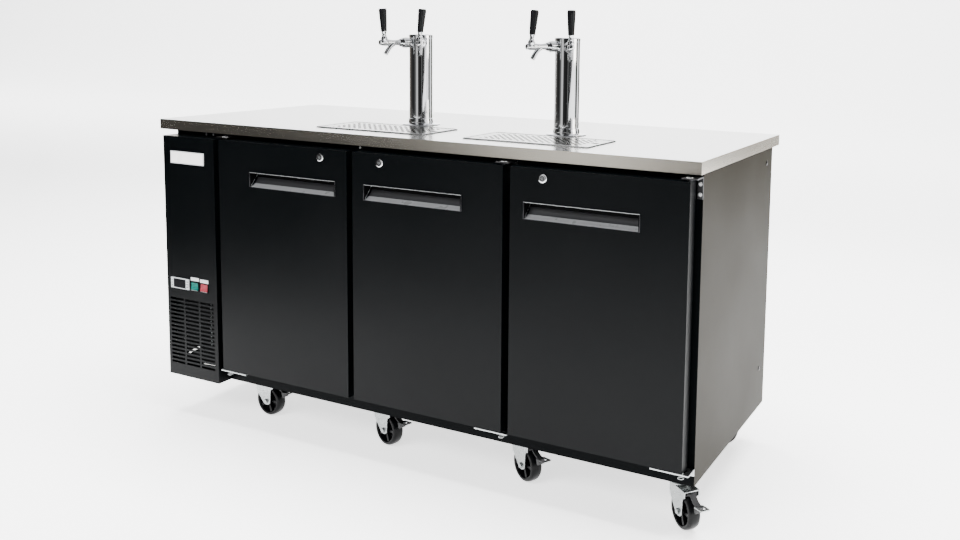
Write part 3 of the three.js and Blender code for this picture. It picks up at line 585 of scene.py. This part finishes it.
def column(number):
    """Polished column on a thin black seal: spun flange, tube, rolled cap rim and a shallow cap."""
    low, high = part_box(f"column_{number}")
    place = Matrix.Translation(((low.x + high.x) / 2, (low.y + high.y) / 2, low.z))
    height = high.z - low.z
    flange = (high.x - low.x) / 2
    profile = [(0, 0)]
    profile += [(flange + r, z) for r, z in mm(FLANGE_RIM)]
    profile += [(COLUMN_RADIUS + r, z) for r, z in mm(FLANGE_COLLAR)]
    profile += [(COLUMN_RADIUS + r, height + z) for r, z in mm(COLUMN_CAP)]
    profile.append((0, height))
    Shape().lathe(profile, 96, place).make(
        f"column_skin_{number}", CHROME, ROOT, "chrome", [f"column_{number}"], crease=40)
    seal = [(flange + r, z) for r, z in mm(COLUMN_SEAL)]
    Shape().lathe(seal, 72, place, closed=True).make(
        f"column_seal_{number}", GASKET, ROOT, "gasket_rubber", edge=0.2 * MM)


FAUCET_TURN = {1: -29, 2: 33, 3: -30, 4: 31}                   # degrees to the right of straight ahead
FAUCET_AXIS = 0.260                        # above the column's foot
LEVER_OUT = 0.125                          # in front of the column's axis
# Profiles in millimetres, each point a radius and how far out it lies.
ESCUTCHEON = ((0, 37), (14, 37), (14.6, 38.4), (14.6, 40), (13.2, 41.6), (0, 41.6))
COUPLING_NUT = ((0, 42), (13.5, 42), (15.2, 43.6), (15.4, 46), (15.4, 62), (14.6, 65), (12.6, 67.5),
                (12.4, 72), (11.2, 74), (0, 74))
FAUCET_BODY = ((0, 73), (9.2, 73), (9, 80), (8.2, 88), (8, 98), (8.8, 106), (10, 112), (10.4, 118),
               (10.4, 130), (9.8, 134), (8.2, 137), (8.6, 138), (8.6, 140), (6.5, 142.4), (3, 143.4),
               (0, 143.6))
LEVER_COLLAR = ((0, 0), (9.6, 0), (9.8, 9), (10.2, 10), (10.4, 13), (10, 15), (9.2, 16), (9, 18.4),
                (7.4, 19.4), (5.4, 18), (4.6, 15), (0, 14))
LEVER = ((0, -5.5), (3, -5), (5, -3), (5.6, 0), (5, 3), (4.4, 5), (4.4, 6.5), (6.6, 7), (7.2, 8),
         (7.2, 11.4), (5.6, 12.2), (5.6, 13.4), (6.8, 14.2), (7.2, 20), (7.8, 21), (7.8, 23), (0, 23))
NUT_LUGS = 6
SPOUT_ROOT, SPOUT_BEND, SPOUT_END = Vector((95, 0, -3)), Vector((107, 0, -11)), Vector((121, 0, -36))
SPOUT_RADII = (8.6, 7.2)                   # at its root, and from half of its length on
SPOUT_STEPS = 14


def tap_frame(number):
    """Where a tap is: X away from its column towards the front, Z up, origin on the column's axis."""
    column_node = f"column_{(number + 1) // 2}"
    middle = mid(column_node)
    turn = Matrix.Rotation(math.radians(FAUCET_TURN[number] - 90), 4, "Z")
    return Matrix.Translation((middle.x, middle.y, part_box(column_node)[0].z + FAUCET_AXIS)) @ turn


def faucet(number):
    """Chrome faucet: escutcheon, lugged coupling nut, waisted body, lever collar and curved spout."""
    place = tap_frame(number)
    flat = place @ Matrix.Rotation(math.pi / 2, 4, "Y")
    shape = Shape()
    shape.lathe(mm(ESCUTCHEON), 48, flat)
    shape.lathe(mm(COUPLING_NUT), 48, flat)
    for k in range(NUT_LUGS):
        lug = Matrix.Rotation(2 * math.pi / NUT_LUGS * k, 4, "Z")
        shape.box((12.6 * MM, -1.6 * MM, 47 * MM), (16.4 * MM, 1.6 * MM, 60 * MM), flat @ lug)
    shape.lathe(mm(FAUCET_BODY), 48, flat)
    shape.lathe(mm(LEVER_COLLAR), 40, place @ Matrix.Translation((LEVER_OUT, 0, 0)))
    route, radii = [], []
    for k in range(SPOUT_STEPS + 1):
        t = k / SPOUT_STEPS
        point = SPOUT_ROOT * (1 - t) ** 2 + SPOUT_BEND * 2 * t * (1 - t) + SPOUT_END * t ** 2
        route.append(point * MM)
        radii.append(lerp(*SPOUT_RADII, min(1, t * 2)) * MM)
    # The mouth turns in and runs back up inside, so the spout looks hollow from below.
    onward = (SPOUT_END - SPOUT_BEND).normalized()
    route += [(SPOUT_END + onward * 0.6) * MM, (SPOUT_END - onward * 9) * MM]
    radii += [5.8 * MM, 5.0 * MM]
    shape.tube(route, radii, 28, place)
    shape.make(f"faucet_body_{number}", FAUCET_CHROME, ROOT, "chrome", [f"faucet_{number}"], crease=38)


HANDLE_LEAN = {1: (3.5, 0), 2: (0, 5.5), 3: (-6.6, 0), 4: (0, 0)}     # degrees outwards, and to the left
GRIP_FOOT, GRIP_TOP = 23, 93.5             # millimetres above the lever's pivot
GRIP_SHOULDER = 0.94                       # share of the grip's length at which its top rounds in


def handle(number):
    """Lever with its ball and ferrule, and a black fluted grip that widens to its top."""
    pivot = joint_at(f"tap_{number}_lever")
    forward, sideways = HANDLE_LEAN[number]
    turn = tap_frame(number).to_3x3().to_4x4()
    tilt = Matrix.Rotation(math.radians(-sideways), 4, "X") @ Matrix.Rotation(math.radians(forward), 4, "Y")
    place = Matrix.Translation(pivot) @ turn @ tilt
    length = min(GRIP_TOP, (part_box(f"tap_handle_{number}")[1].z - pivot.z) / MM)
    Shape().lathe(mm(LEVER), 36, place).make(
        f"lever_{number}", FAUCET_CHROME, f"tap_lever_{number}", "chrome")
    sides, flutes, rings = 96, 12, 14
    verts = []
    for k in range(rings + 1):
        t = k / rings
        height = lerp(GRIP_FOOT, length, t)
        radius = lerp(9.2, 12.8, t)
        if t >= GRIP_SHOULDER:
            radius = lerp(12.6, 10.4, (t - GRIP_SHOULDER) / (1 - GRIP_SHOULDER))
        depth = 0.9 * min(1, 6 * t) * min(1, 8 * (1 - t))
        for s in range(sides):
            angle = 2 * math.pi * s / sides
            r = radius - depth * (0.5 + 0.5 * math.cos(flutes * angle)) ** 2
            verts.append((r * MM * math.cos(angle), r * MM * math.sin(angle), height * MM))
    Shape().rings(verts, sides, place).make(
        f"grip_{number}", GRIP, f"tap_lever_{number}", "black_plastic", [f"tap_handle_{number}"], crease=50)


for number in COLUMNS:
    column(number)
for number in TAPS:
    faucet(number)
    handle(number)


# ---------------------------------------------------------------- drip grates

HOLE_PITCH = (20 * MM, 12 * MM)
HOLE_RADIUS = 5.5 * MM
HOLE_SIDES = 16
GRATE_SHEET = 0.6 * MM
GRATE_MARGIN = 9 * MM                      # the least width of plain sheet round the holes
NOTCH_HALF = 9 * MM                        # half the width of the finger notch
TRAY_INSET = 18.4 * MM                     # from the tray's rim to the painted shade in its well


def brick_with_hole(shape, x0, x1, y0, y1, z0, z1):
    """One rectangle of sheet with a round hole in its middle."""
    centre = Vector(((x0 + x1) / 2, (y0 + y1) / 2))
    half = Vector(((x1 - x0) / 2, (y1 - y0) / 2))
    inner, outer = [], []
    for k in range(HOLE_SIDES):
        angle = 2 * math.pi * (k + 0.5) / HOLE_SIDES
        way = Vector((math.cos(angle), math.sin(angle)))
        inner.append(centre + way * HOLE_RADIUS)
        stretch = min(half.x / abs(way.x), half.y / abs(way.y))
        outer.append(centre + way * stretch)
    verts = [(p.x, p.y, z) for z in (z1, z0) for p in inner + outer]
    n = HOLE_SIDES
    faces = []
    for k in range(n):
        j = (k + 1) % n
        faces.append((k, n + k, n + j, j))
        faces.append((2 * n + k, 2 * n + j, 3 * n + j, 3 * n + k))
        faces.append((k, j, 2 * n + j, 2 * n + k))
    corners = [(x, y) for x in (x0, x1) for y in (y0, y1)]
    for corner in corners:
        nearest = sorted(range(n), key=lambda k: (outer[k] - Vector(corner)).length)[:2]
        for level, z in ((0, z1), (2, z0)):
            verts.append((*corner, z))
            faces.append((level * n + n + nearest[0], len(verts) - 1, level * n + n + nearest[1]))
    shape.add(verts, faces)


def grate(number):
    """Perforated insert: staggered rows of round holes in thin sheet, plain round its edge."""
    low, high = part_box(f"drip_grate_{number}")
    z0, z1 = high.z - GRATE_SHEET, high.z
    pitch, step = HOLE_PITCH
    rows = int((high.y - low.y - 2 * GRATE_MARGIN) / step)
    columns = int((high.x - low.x - 2 * GRATE_MARGIN - pitch / 2) / pitch)
    left = (low.x + high.x) / 2 - (columns + 0.5) * pitch / 2
    right = left + (columns + 0.5) * pitch
    front = (low.y + high.y) / 2 - rows * step / 2
    back = front + rows * step
    shape = Shape()
    for row in range(rows):
        y0 = front + row * step
        y1 = y0 + step
        start = left + (row % 2) * pitch / 2
        for k in range(columns):
            x0 = start + k * pitch
            brick_with_hole(shape, x0, x0 + pitch, y0, y1, z0, z1)
        blank = (left, start) if row % 2 else (start + columns * pitch, right)
        shape.box((blank[0], y0, z0), (blank[1], y1, z1))
    middle = (low.y + high.y) / 2
    plain = ((low.x, high.x, low.y, front), (low.x, high.x, back, high.y), (low.x, left, front, back),
             (right, high.x, front, middle - NOTCH_HALF), (right, high.x, middle + NOTCH_HALF, back))
    for x0, x1, y0, y1 in plain:
        shape.box((x0, y0, z0), (x1, y1, z1))
    shape.make(f"grate_sheet_{number}", TRAY_STEEL, f"grate_{number}", "stainless", [f"drip_grate_{number}"])


def tray_shade(number):
    """Dark sheets in a tray's well as painted shade, and the rolled bead round its rim."""
    low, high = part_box(f"drip_tray_{number}")
    wall = 0.8 * MM
    x0, x1 = low.x + TRAY_INSET, high.x - TRAY_INSET
    y0, y1 = low.y + TRAY_INSET, high.y - TRAY_INSET
    floor, brim = low.z + 2.2 * MM, high.z - 3.2 * MM
    lining = Shape()
    lining.box((x0, y0, floor), (x0 + wall, y1, brim))
    lining.box((x1 - wall, y0, floor), (x1, y1, brim))
    lining.box((x0, y0, floor), (x1, y0 + wall, brim))
    lining.box((x0, y1 - wall, floor), (x1, y1, brim))
    lining.box((x0, y0, floor), (x1, y1, floor + wall))
    lining.make(f"tray_painted_shade_{number}", BLACK_AND_PAINTED_SHADE, ROOT, "stainless", edge=0.3 * MM)
    inset = 2 * MM
    a, b, c, d = low.x + inset, high.x - inset, low.y + inset, high.y - inset
    corners = [(a, c, high.z), (b, c, high.z), (b, d, high.z), (a, d, high.z)]
    Shape().loop(corners, 1.1 * MM, 12).make(f"tray_bead_{number}", CHROME, ROOT, "stainless", crease=60)


for number in COLUMNS:
    grate(number)
    tray_shade(number)


# ---------------------------------------------------------------- doors

HINGE_LEFT = {1: True, 2: False, 3: False}
LOCK_PROUD = 2.5 * MM                      # the lock's collar stands this far before the door's face
FLOOR_REACH = 0.62                         # how far up its pocket the floor of a pull sweeps
PULL_STEPS, BRIGHT_STEPS = 16, 9           # the steps of that sweep, and how many of them are bright; the rest are painted shade
# Profiles in millimetres, each point a radius and how far out it lies.
LOCK_COLLAR = ((7.4, 0), (11.6, 0), (11.8, 1), (11, 2.2), (9.4, 2.9), (7.4, 2.9))
LOCK_PLUG = ((0, -20), (7, -20), (7, 2.2), (6.4, 2.9), (5.2, 3.1), (0, 3.2))
KEYWAY_RING = ((1.6, 3.0), (3.4, 3.0), (3.4, 3.4), (1.6, 3.4))
GASKET_LIPS = ((3 * MM, 0.45), (10 * MM, 0.5), (17 * MM, 0.45))     # inset, and share of the depth


def pull(number):
    """Recessed pull: thin flange, walls painted dark as shade, and a floor bright by its lip and painted
    dark as shade where it sweeps up.
    """
    low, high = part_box(f"door_pull_{number}")
    leaf = f"door_leaf_{number}"
    door_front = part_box(f"door_{number}")[0].y + LOCK_PROUD
    rim, wall, sheet = 1.2 * MM, 4 * MM, 1.0 * MM
    x0, x1, z0, z1 = low.x, high.x, low.z, high.z
    front, rear = low.y, high.y
    bars = ((x0, x1, z1 - rim, z1), (x0, x1, z0, z0 + rim), (x0, x0 + rim, z0 + rim, z1 - rim),
            (x1 - rim, x1, z0 + rim, z1 - rim))
    flange = Shape()
    for a, b, c, d in bars:
        flange.box((a, front, c), (b, door_front - 0.2 * MM, d))
    flange.make(f"pull_flange_{number}", PULL_RIM, leaf, "pull_metal", edge=0.5 * MM)
    mouth = front + 0.6 * MM
    floor_back = rear - 2.4 * MM
    floor_end = lerp(z0 + wall, z1 - wall, FLOOR_REACH)
    walls = Shape()
    walls.box((x0 + rim, mouth, z0 + rim), (x0 + wall, rear - sheet, z1 - rim))
    walls.box((x1 - wall, mouth, z0 + rim), (x1 - rim, rear - sheet, z1 - rim))
    walls.box((x0 + wall, mouth, z1 - wall), (x1 - wall, rear - sheet, z1 - rim))
    walls.box((x0 + wall, floor_back, floor_end - 1 * MM), (x1 - wall, rear - 1.2 * MM, z1 - wall))
    walls.make(f"pull_walls_{number}", BLACK_AND_PAINTED_SHADE, leaf, "black_plastic")
    outline = []
    for k in range(PULL_STEPS + 1):
        t = k / PULL_STEPS
        rise = 0.4 * t + 0.6 * t ** 3
        outline.append((lerp(mouth, floor_back, t), lerp(z0 + rim, floor_end, rise)))
    turned = Matrix(((0, 0, 1, 0), (1, 0, 0, 0), (0, 1, 0, 0), (0, 0, 0, 1)))
    # The front steps keep the dish's own colour; the steps behind them are painted shade.
    parts = (("dish", outline[:BRIGHT_STEPS + 1], PULL_STEEL, [f"door_pull_{number}"]),
             ("sweep", outline[BRIGHT_STEPS:], PULL_PAINTED_SHADE, ()))
    for part, skin, finish, replaced in parts:
        under = [(y + sheet, z - sheet * 0.8) for y, z in reversed(skin)]
        Shape().prism(skin + under, x0 + wall, x1 - wall, turned).make(
            f"pull_{part}_{number}", finish, leaf, "pull_metal", replaced)
    lip = Shape()
    bar = [(x, front + 1.2 * MM, z1 - 1.2 * MM) for x in (x0 + 1 * MM, x1 - 1 * MM)]
    lip.tube(bar, [0.9 * MM, 0.9 * MM], 16)
    # A thin bright bar across the pocket's left end stands in for a highlight.
    diagonal_glint = [(x0 + 5 * MM, front + 3 * MM, z0 + 5 * MM), (x0 + 6 * MM, rear - 4 * MM, z1 - 7 * MM)]
    lip.tube(diagonal_glint, [0.8 * MM, 0.8 * MM], 12)
    lip.make(f"pull_lip_and_glint_{number}", ZINC, leaf, "pull_metal")


def lock(number):
    """Lock: bright collar on the door, and a turning plug painted dark as the reflection it shows, with its
    keyway.
    """
    centre = joint_at(f"door_{number}_lock")
    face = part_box(f"door_{number}")[0].y + LOCK_PROUD
    out = Matrix.Translation((centre.x, face, centre.z)) @ Matrix.Rotation(math.pi / 2, 4, "X")
    Shape().lathe(mm(LOCK_COLLAR), 48, out, closed=True).make(
        f"lock_collar_{number}", CHROME, f"door_leaf_{number}", "chrome")
    # The plug is drawn in black rubber: painted dark reflection on what is chrome.
    Shape().lathe(mm(LOCK_PLUG), 40, out).make(
        f"lock_plug_{number}", GASKET, f"lock_{number}", "chrome", [f"door_lock_{number}"])
    keyway = Shape().lathe(mm(KEYWAY_RING), 28, out, closed=True)
    for near, far in mm(((-4.4, -1.7), (1.7, 4.4))):
        keyway.box((-0.8 * MM, near, 3.0 * MM), (0.8 * MM, far, 3.4 * MM), out)
    keyway.make(f"lock_keyway_{number}", ZINC, f"lock_{number}", "black_plastic")


def door_lining(number):
    """Pale inner skin of a door, inside its gasket, with a raised field."""
    low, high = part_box(f"door_gasket_{number}")
    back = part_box(f"door_{number}")[1].y
    skin = Shape()
    for inset, near, far in ((24 * MM, 0, 2 * MM), (60 * MM, 1.5 * MM, 6 * MM)):
        skin.box((low.x + inset, back + near, low.z + inset), (high.x - inset, back + far, high.z - inset))
    skin.make(f"door_lining_{number}", DOOR_LINER, f"door_leaf_{number}", "stainless", edge=2.5 * MM)


def gasket_ribs(number):
    """Soft folded lips of the gasket."""
    low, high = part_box(f"door_gasket_{number}")
    radius = (high.y - low.y) * 0.42
    ribs = Shape()
    for inset, depth in GASKET_LIPS:
        y = lerp(low.y, high.y, depth)
        a, b, c, d = low.x + inset, high.x - inset, low.z + inset, high.z - inset
        ribs.loop([(a, y, c), (b, y, c), (b, y, d), (a, y, d)], radius, 10)
    ribs.make(f"gasket_lips_{number}", GASKET, f"door_leaf_{number}", "gasket_rubber", crease=80)


for number in DOORS:
    pull(number)
    lock(number)
    door_lining(number)
    gasket_ribs(number)


# ---------------------------------------------------------------- cabinet details

WASHER = ((5.8, 0), (8.4, 0), (8.6, 0.5), (8.4, 1), (5.8, 1))       # millimetres: radius and height
HINGE_LEG = 7.25 * MM                      # from a bracket's outer end to the middle of its leg
HINGE_SCREWS = {"top": (12 * MM, 38 * MM), "bottom": (10 * MM,)}     # above the bracket's foot
PLUG_BACK = 604 * MM                       # behind the worktop's front
PLUG_HEIGHTS = (885 * MM, 252 * MM)
BAY_SCREWS = (128 * MM, 158 * MM)          # from the machine bay's left side
RAIL_DROP = 9 * MM                         # from the rail's top to its screws
# From the doors' outline, the cabinet's front and the cabinet's back to the lining of the cooled space.
CAVITY_INSET, CAVITY_FRONT, CAVITY_BACK = 34 * MM, 46 * MM, 55 * MM


def hinge_screws(number):
    """Pan heads on the legs of a door's hinge brackets, and a flat washer under each pivot's head."""
    screws = Shape()
    pin = joint_at(f"door_{number}_hinge")
    for end, heights in HINGE_SCREWS.items():
        low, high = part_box(f"hinge_{end}_{number}")
        leg = low.x + HINGE_LEG if HINGE_LEFT[number] else high.x - HINGE_LEG
        for up in heights:
            screws.screw((leg, high.y - 3.4 * MM, low.z + up), (0, -1, 0), 5.2 * MM, 2.6 * MM)
        height = high.z - 2.4 * MM if end == "top" else low.z + 2 * MM
        screws.lathe(mm(WASHER), 32, Matrix.Translation((pin.x, pin.y, height)), closed=True)
    screws.make(f"hinge_screws_{number}", SCREW_PAINTED_SHINE, ROOT, "zinc")


def cabinet_trim():
    """Hole plugs in the right side, and the screws in the front rails."""
    low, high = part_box("cabinet_shell")
    worktop_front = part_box("worktop")[0].y
    plugs = Shape()
    for up in PLUG_HEIGHTS:
        plugs.screw((high.x - 0.2 * MM, worktop_front + PLUG_BACK, up), (1, 0, 0), 7.5 * MM, 2.2 * MM)
    plugs.make("side_plugs", BLACK_PLASTIC, ROOT, "black_plastic")
    rail = Shape()
    bay_low, bay_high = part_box("machine_bay")
    for across in BAY_SCREWS:
        rail.screw((bay_low.x + across, bay_low.y, bay_high.z - RAIL_DROP), (0, -1, 0), 3.6 * MM, 2 * MM)
    for number in DOORS[:2]:
        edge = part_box(f"door_{number}")[1].x
        rail.screw((edge + 8 * MM, low.y, high.z - RAIL_DROP), (0, -1, 0), 3.4 * MM, 2 * MM)
    rail.make("rail_screws", SCREW_PAINTED_SHINE, ROOT, "zinc")


def cavity_lining():
    """Thin bright sheets over the floor, ceiling, back and side walls of the cooled space."""
    door_low, door_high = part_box("door_1")
    left, right = door_low.x + CAVITY_INSET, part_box("door_3")[1].x - CAVITY_INSET
    floor, ceiling = door_low.z + CAVITY_INSET, door_high.z - CAVITY_INSET
    low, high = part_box("cabinet_shell")
    front, back = low.y + CAVITY_FRONT, high.y - CAVITY_BACK
    skin = 0.8 * MM
    lining = Shape()
    lining.box((left, front, floor), (right, back, floor + skin))
    lining.box((left, front, ceiling - skin), (right, back, ceiling))
    lining.box((left, back - skin, floor + skin), (right, back, ceiling - skin))
    lining.box((right - skin, front, floor + skin), (right, back - skin, ceiling - skin))
    lining.box((left, front, floor + skin), (left + 0.2 * MM, back - skin, ceiling - skin))
    lining.make("cavity_lining", LINER_STEEL, ROOT, "stainless")


def controls():
    """Thermostat window and keys, legend plates, a bright bar as a painted highlight on each rocker, the
    name plate's border.
    """
    low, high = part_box("thermostat")
    width, height = high.x - low.x, high.z - low.z
    window = Shape()
    window.box((low.x + 0.15 * width, low.y - 0.2 * MM, low.z + 0.07 * height),
               (low.x + 0.83 * width, low.y + 1.25 * MM, high.z - 0.07 * height))
    window.make("thermostat_window", DISPLAY, ROOT, "black_plastic", edge=0.3 * MM)
    keys = Shape()
    key_profile = mm(((0, 0.9), (1.3, 0.8), (1.7, 0.2), (1.7, 0), (0, 0)))
    for across in (0.07, 0.89, 0.95):
        for up in (0.25, 0.5, 0.75):
            key = (low.x + across * width, low.y + 0.05 * MM, lerp(low.z, high.z, up))
            keys.lathe(key_profile, 20, along((0, -1, 0), key))
    keys.make("thermostat_keys", BLACK_AND_PAINTED_SHADE, ROOT, "black_plastic")
    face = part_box("grille_panel")[0].y + 1.6 * MM
    legends, glints = Shape(), Shape()
    for color, drop in (("green", 0), ("red", 2 * MM)):
        middle = mid(f"switch_{color}")
        legends.box((middle.x - 17.5 * MM, face - 0.8 * MM, middle.z + 17 * MM - drop),
                    (middle.x + 17.5 * MM, face - 0.05 * MM, middle.z + 28 * MM - drop))
        # A thin zinc bar along each rocker's lower edge stands in for its highlight.
        ends = [(middle.x + across * MM, face - 1.8 * MM, middle.z - 13.6 * MM) for across in (-14, 14)]
        glints.tube(ends, [0.7 * MM, 0.7 * MM], 12)
    legends.make("legend_plates", LABEL, ROOT, "grey_plastic", edge=0.2 * MM)
    glints.make("switch_painted_glints", ZINC, ROOT, "zinc")
    low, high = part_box("badge_plate")
    x0, x1, z0, z1 = low.x, high.x, low.z, high.z
    rim = 2.2 * MM
    border = Shape()
    for a, b, c, d in ((x0, x1, z1 - rim, z1), (x0, x1, z0, z0 + rim), (x0, x0 + rim, z0, z1),
                       (x1 - rim, x1, z0, z1)):
        border.box((a, low.y - 0.5 * MM, c), (b, low.y + 0.3 * MM, d))
    border.make("badge_border", BEZEL, ROOT, "grey_plastic", edge=0.2 * MM)


def grille_details():
    """What shows through the louvres: a pale strap and a beaded lead, with a dark sheet behind them."""
    low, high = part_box("grille_panel")
    left, floor = low.x, low.z
    near = low.y + 7 * MM
    Shape().box((left + 6 * MM, near + 20 * MM, floor + 20 * MM),
                (high.x - 6 * MM, near + 22 * MM, floor + 270 * MM)).make(
        "grille_dark_sheet", BLACK_AND_PAINTED_SHADE, ROOT, "machine_black")
    strap = Shape()
    strap.tube([(left + x, near, floor + z) for x, z in mm(((80, 76), (102, 90), (126, 103), (142, 112)))],
               [2.2 * MM, 3.6 * MM, 3.6 * MM, 2.2 * MM], 16)
    strap.tube([(left + x, near, floor + z) for x, z in mm(((150, 54), (208, 55)))], [1 * MM, 1 * MM], 12)
    strap.make("grille_strap", PLATE, ROOT, "zinc")
    beads = Shape()
    for k in range(40):
        radius = 2.4 if k % 3 else 1.2
        across, up = 184 + 1.5 * math.sin(0.8 * k), 118 + 4 * k
        at = Matrix.Translation((left + across * MM, near + 1 * MM, floor + up * MM))
        beads.lathe(mm(((0, -2.2), (radius, -0.8), (radius, 0.8), (0, 2.2))), 10, at)
    beads.make("grille_lead", LEAD, ROOT, "grey_plastic", crease=60)


for number in DOORS:
    hinge_screws(number)
cabinet_trim()
cavity_lining()
controls()
grille_details()


# ---------------------------------------------------------------- casters

def caster_frame(number):
    """The swivel's own axes at floor level: X leads to the wheel's axle, Y lies along the axle."""
    swivel = joint_at(f"caster_{number}_swivel")
    axle = joint_at(f"caster_{number}_roll")
    way = Vector((axle.x - swivel.x, axle.y - swivel.y, 0))
    lead = way.length
    turn = Matrix.Rotation(math.atan2(way.y, way.x), 4, "Z")
    return Matrix.Translation((swivel.x, swivel.y, 0)) @ turn, lead, axle.z


UPRIGHT = Matrix.Rotation(math.pi / 2, 4, "X")                 # turns a drawing's Y up and its Z across
FORK_INNER, FORK_SHEET, FORK_BRIDGE, FORK_REAR = 19.5 * MM, 3 * MM, 109 * MM, 59 * MM
# Profiles in millimetres, each point a radius and a place along the axle or the knuckle's pin.
TREAD = ((50, 0), (49.8, 7), (48.8, 12), (46.6, 15.4), (43.4, 16.8), (41, 17), (38.6, 16.6), (37.6, 15),
         (36.4, 6))
WEB = ((11, -2.5), (37.4, -2.5), (37.4, 2.5), (11, 2.5))
HUB = ((5.6, -17), (10.5, -17), (12.4, -15), (13.4, -3), (13.4, 3), (12.4, 15), (10.5, 17), (5.6, 17))
BUSH = ((4.1, -17.6), (5.9, -17.6), (5.9, 17.6), (4.1, 17.6))
AXLE_BOLT = ((0, -28), (3.8, -28), (3.8, 28), (0, 28))
KNUCKLE = ((3.4, -15), (5.1, -15), (5.1, 15), (3.4, 15))
# Outlines in millimetres: the spoke from the axle, the others outwards and up from the pedal's pin.
SPOKE = ((11, -3.4), (37.8, -5), (37.8, 5), (11, 3.4))
PEDAL_ARM = ((-2, 4.2), (2, 5), (11, 2), (26, -10), (38, -14.5), (40, -14.3), (40, -18.2), (38, -18.5),
             (24, -14), (10, -3), (2, -5), (-2, -4.2))
BRAKE_BLOCK = ((34, -15.5), (46, -16.5), (45.6, -22), (44, -31), (42, -33), (39, -33), (37, -31),
               (35, -22))
TOE_START, TOE_END, TOE_RISE = 39, 72, 3.4
SPOKES = 5
NUT_RADIUS, NUT_THICKNESS = 7.6 * MM, 5 * MM


def caster_wheel(number):
    """Black wheel: crowned tread, recessed web with five spokes, hub with a steel bush."""
    place, lead, height = caster_frame(number)
    axle = place @ Matrix.Translation((lead, 0, height)) @ UPRIGHT
    body = f"wheel_{number}"
    wheel = Shape()
    tread = list(TREAD) + [(r, -y) for r, y in reversed(TREAD[1:])]
    wheel.lathe(mm(tread), 72, axle, closed=True)
    wheel.lathe(mm(WEB), 72, axle, closed=True)
    wheel.lathe(mm(HUB), 48, axle, closed=True)
    for k in range(SPOKES):
        spoke = Matrix.Rotation(2 * math.pi * k / SPOKES, 4, "Z")
        wheel.prism(mm(SPOKE), -13 * MM, 13 * MM, axle @ spoke)
    wheel.make(f"{body}_moulding", BLACK_PLASTIC, body, "tread", [f"caster_wheel_{number}"], edge=0.9 * MM)
    Shape().lathe(mm(BUSH), 32, axle, closed=True).make(f"{body}_bush", ZINC, body, "zinc")


def caster_fork(number):
    """Pressed fork: swivel races, bridge, legs that taper to the axle, axle bolt and nuts."""
    place, lead, height = caster_frame(number)
    body = f"fork_{number}"
    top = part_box(f"caster_fork_{number}")[1].z
    fork = Shape()
    races = [(0, FORK_BRIDGE)]
    races += [(r, FORK_BRIDGE + z) for r, z in mm(((20, 0), (22, 1), (27, 4.6), (27.6, 6), (27, 8)))]
    races += [(r, top + z) for r, z in mm(((25, -3), (26.4, -1.6), (26, 0)))]
    races.append((0, top))
    fork.lathe(races, 64, place)
    half = FORK_INNER + FORK_SHEET
    front = -16 * MM
    fork.box((front, -half, FORK_BRIDGE), (FORK_REAR, half, FORK_BRIDGE + FORK_SHEET), place)
    outline = [(front, FORK_BRIDGE + 1 * MM), (front, 88 * MM), (-13 * MM, 79 * MM)]
    for k in range(11):
        angle = math.radians(lerp(222, 352, k / 10))
        outline.append((lead + 16 * MM * math.cos(angle), height + 12 * MM * math.sin(angle)))
    outline += [(lead + 18 * MM, 84 * MM), (lead + 20 * MM, 91 * MM), (FORK_REAR, 96 * MM),
                (FORK_REAR, FORK_BRIDGE + 1 * MM)]
    for side in (-1, 1):
        near, far = sorted((side * FORK_INNER, side * half))
        fork.prism(outline, near, far, place @ UPRIGHT)
    fork.make(f"{body}_pressing", ZINC, body, "zinc", [f"caster_fork_{number}"], edge=0.8 * MM)
    axle = place @ Matrix.Translation((lead, 0, height)) @ UPRIGHT
    bolt = Shape().lathe(mm(AXLE_BOLT), 24, axle)
    corners = [math.pi / 3 * k for k in range(6)]
    hexagon = [(NUT_RADIUS * math.cos(angle), NUT_RADIUS * math.sin(angle)) for angle in corners]
    for near, far in ((-half - NUT_THICKNESS, -half), (half, half + NUT_THICKNESS)):
        bolt.prism(hexagon, near, far, axle)
        start, end = near - 0.6 * MM, far + 0.6 * MM
        bolt.lathe([(0, start), (6 * MM, start), (6 * MM, end), (0, end)], 24, axle)
    bolt.make(f"{body}_bolt", ZINC, body, "zinc", edge=0.4 * MM)


def caster_pedal(number):
    """Brake pedal: rolled knuckle, cranked arm, a slotted toe tab and the rubber block under it."""
    place = caster_frame(number)[0]
    body = f"pedal_{number}"
    pin = joint_at(f"caster_{number}_brake")
    swivel = place.translation
    out = math.hypot(pin.x - swivel.x, pin.y - swivel.y)
    hinge = place @ Matrix.Translation((out, 0, pin.z)) @ UPRIGHT
    crank = Shape().prism(mm(PEDAL_ARM), -8 * MM, 8 * MM, hinge)
    crank.lathe(mm(KNUCKLE), 28, hinge, closed=True)
    crank.make(f"{body}_arm", GASKET, body, "black_plastic", [f"caster_pedal_{number}"], edge=0.7 * MM)
    toe = Shape()
    for start, near, far in ((TOE_START, -13, -8), (TOE_START, 8, 13), (64, -9, 9)):
        rise = lerp(0, TOE_RISE, (start - TOE_START) / (TOE_END - TOE_START))
        bar = mm([(start, rise - 14.4), (TOE_END, -11), (TOE_END, -14.5), (start, rise - 18.4)])
        toe.prism(bar, near * MM, far * MM, hinge)
    # The fourth caster's toe tab shows its bare metal, and the others' are painted black as shade over the
    # same metal.
    finish, slot = (ZINC, "zinc") if number == 4 else (GASKET, "black_plastic")
    toe.make(f"{body}_toe", finish, body, slot, edge=0.7 * MM)
    Shape().prism(mm(BRAKE_BLOCK), -11 * MM, 11 * MM, hinge).make(
        f"{body}_block", GASKET, body, "tread", edge=0.8 * MM)


for number in CASTERS:
    caster_wheel(number)
    caster_fork(number)
for number in BRAKED:
    caster_pedal(number)
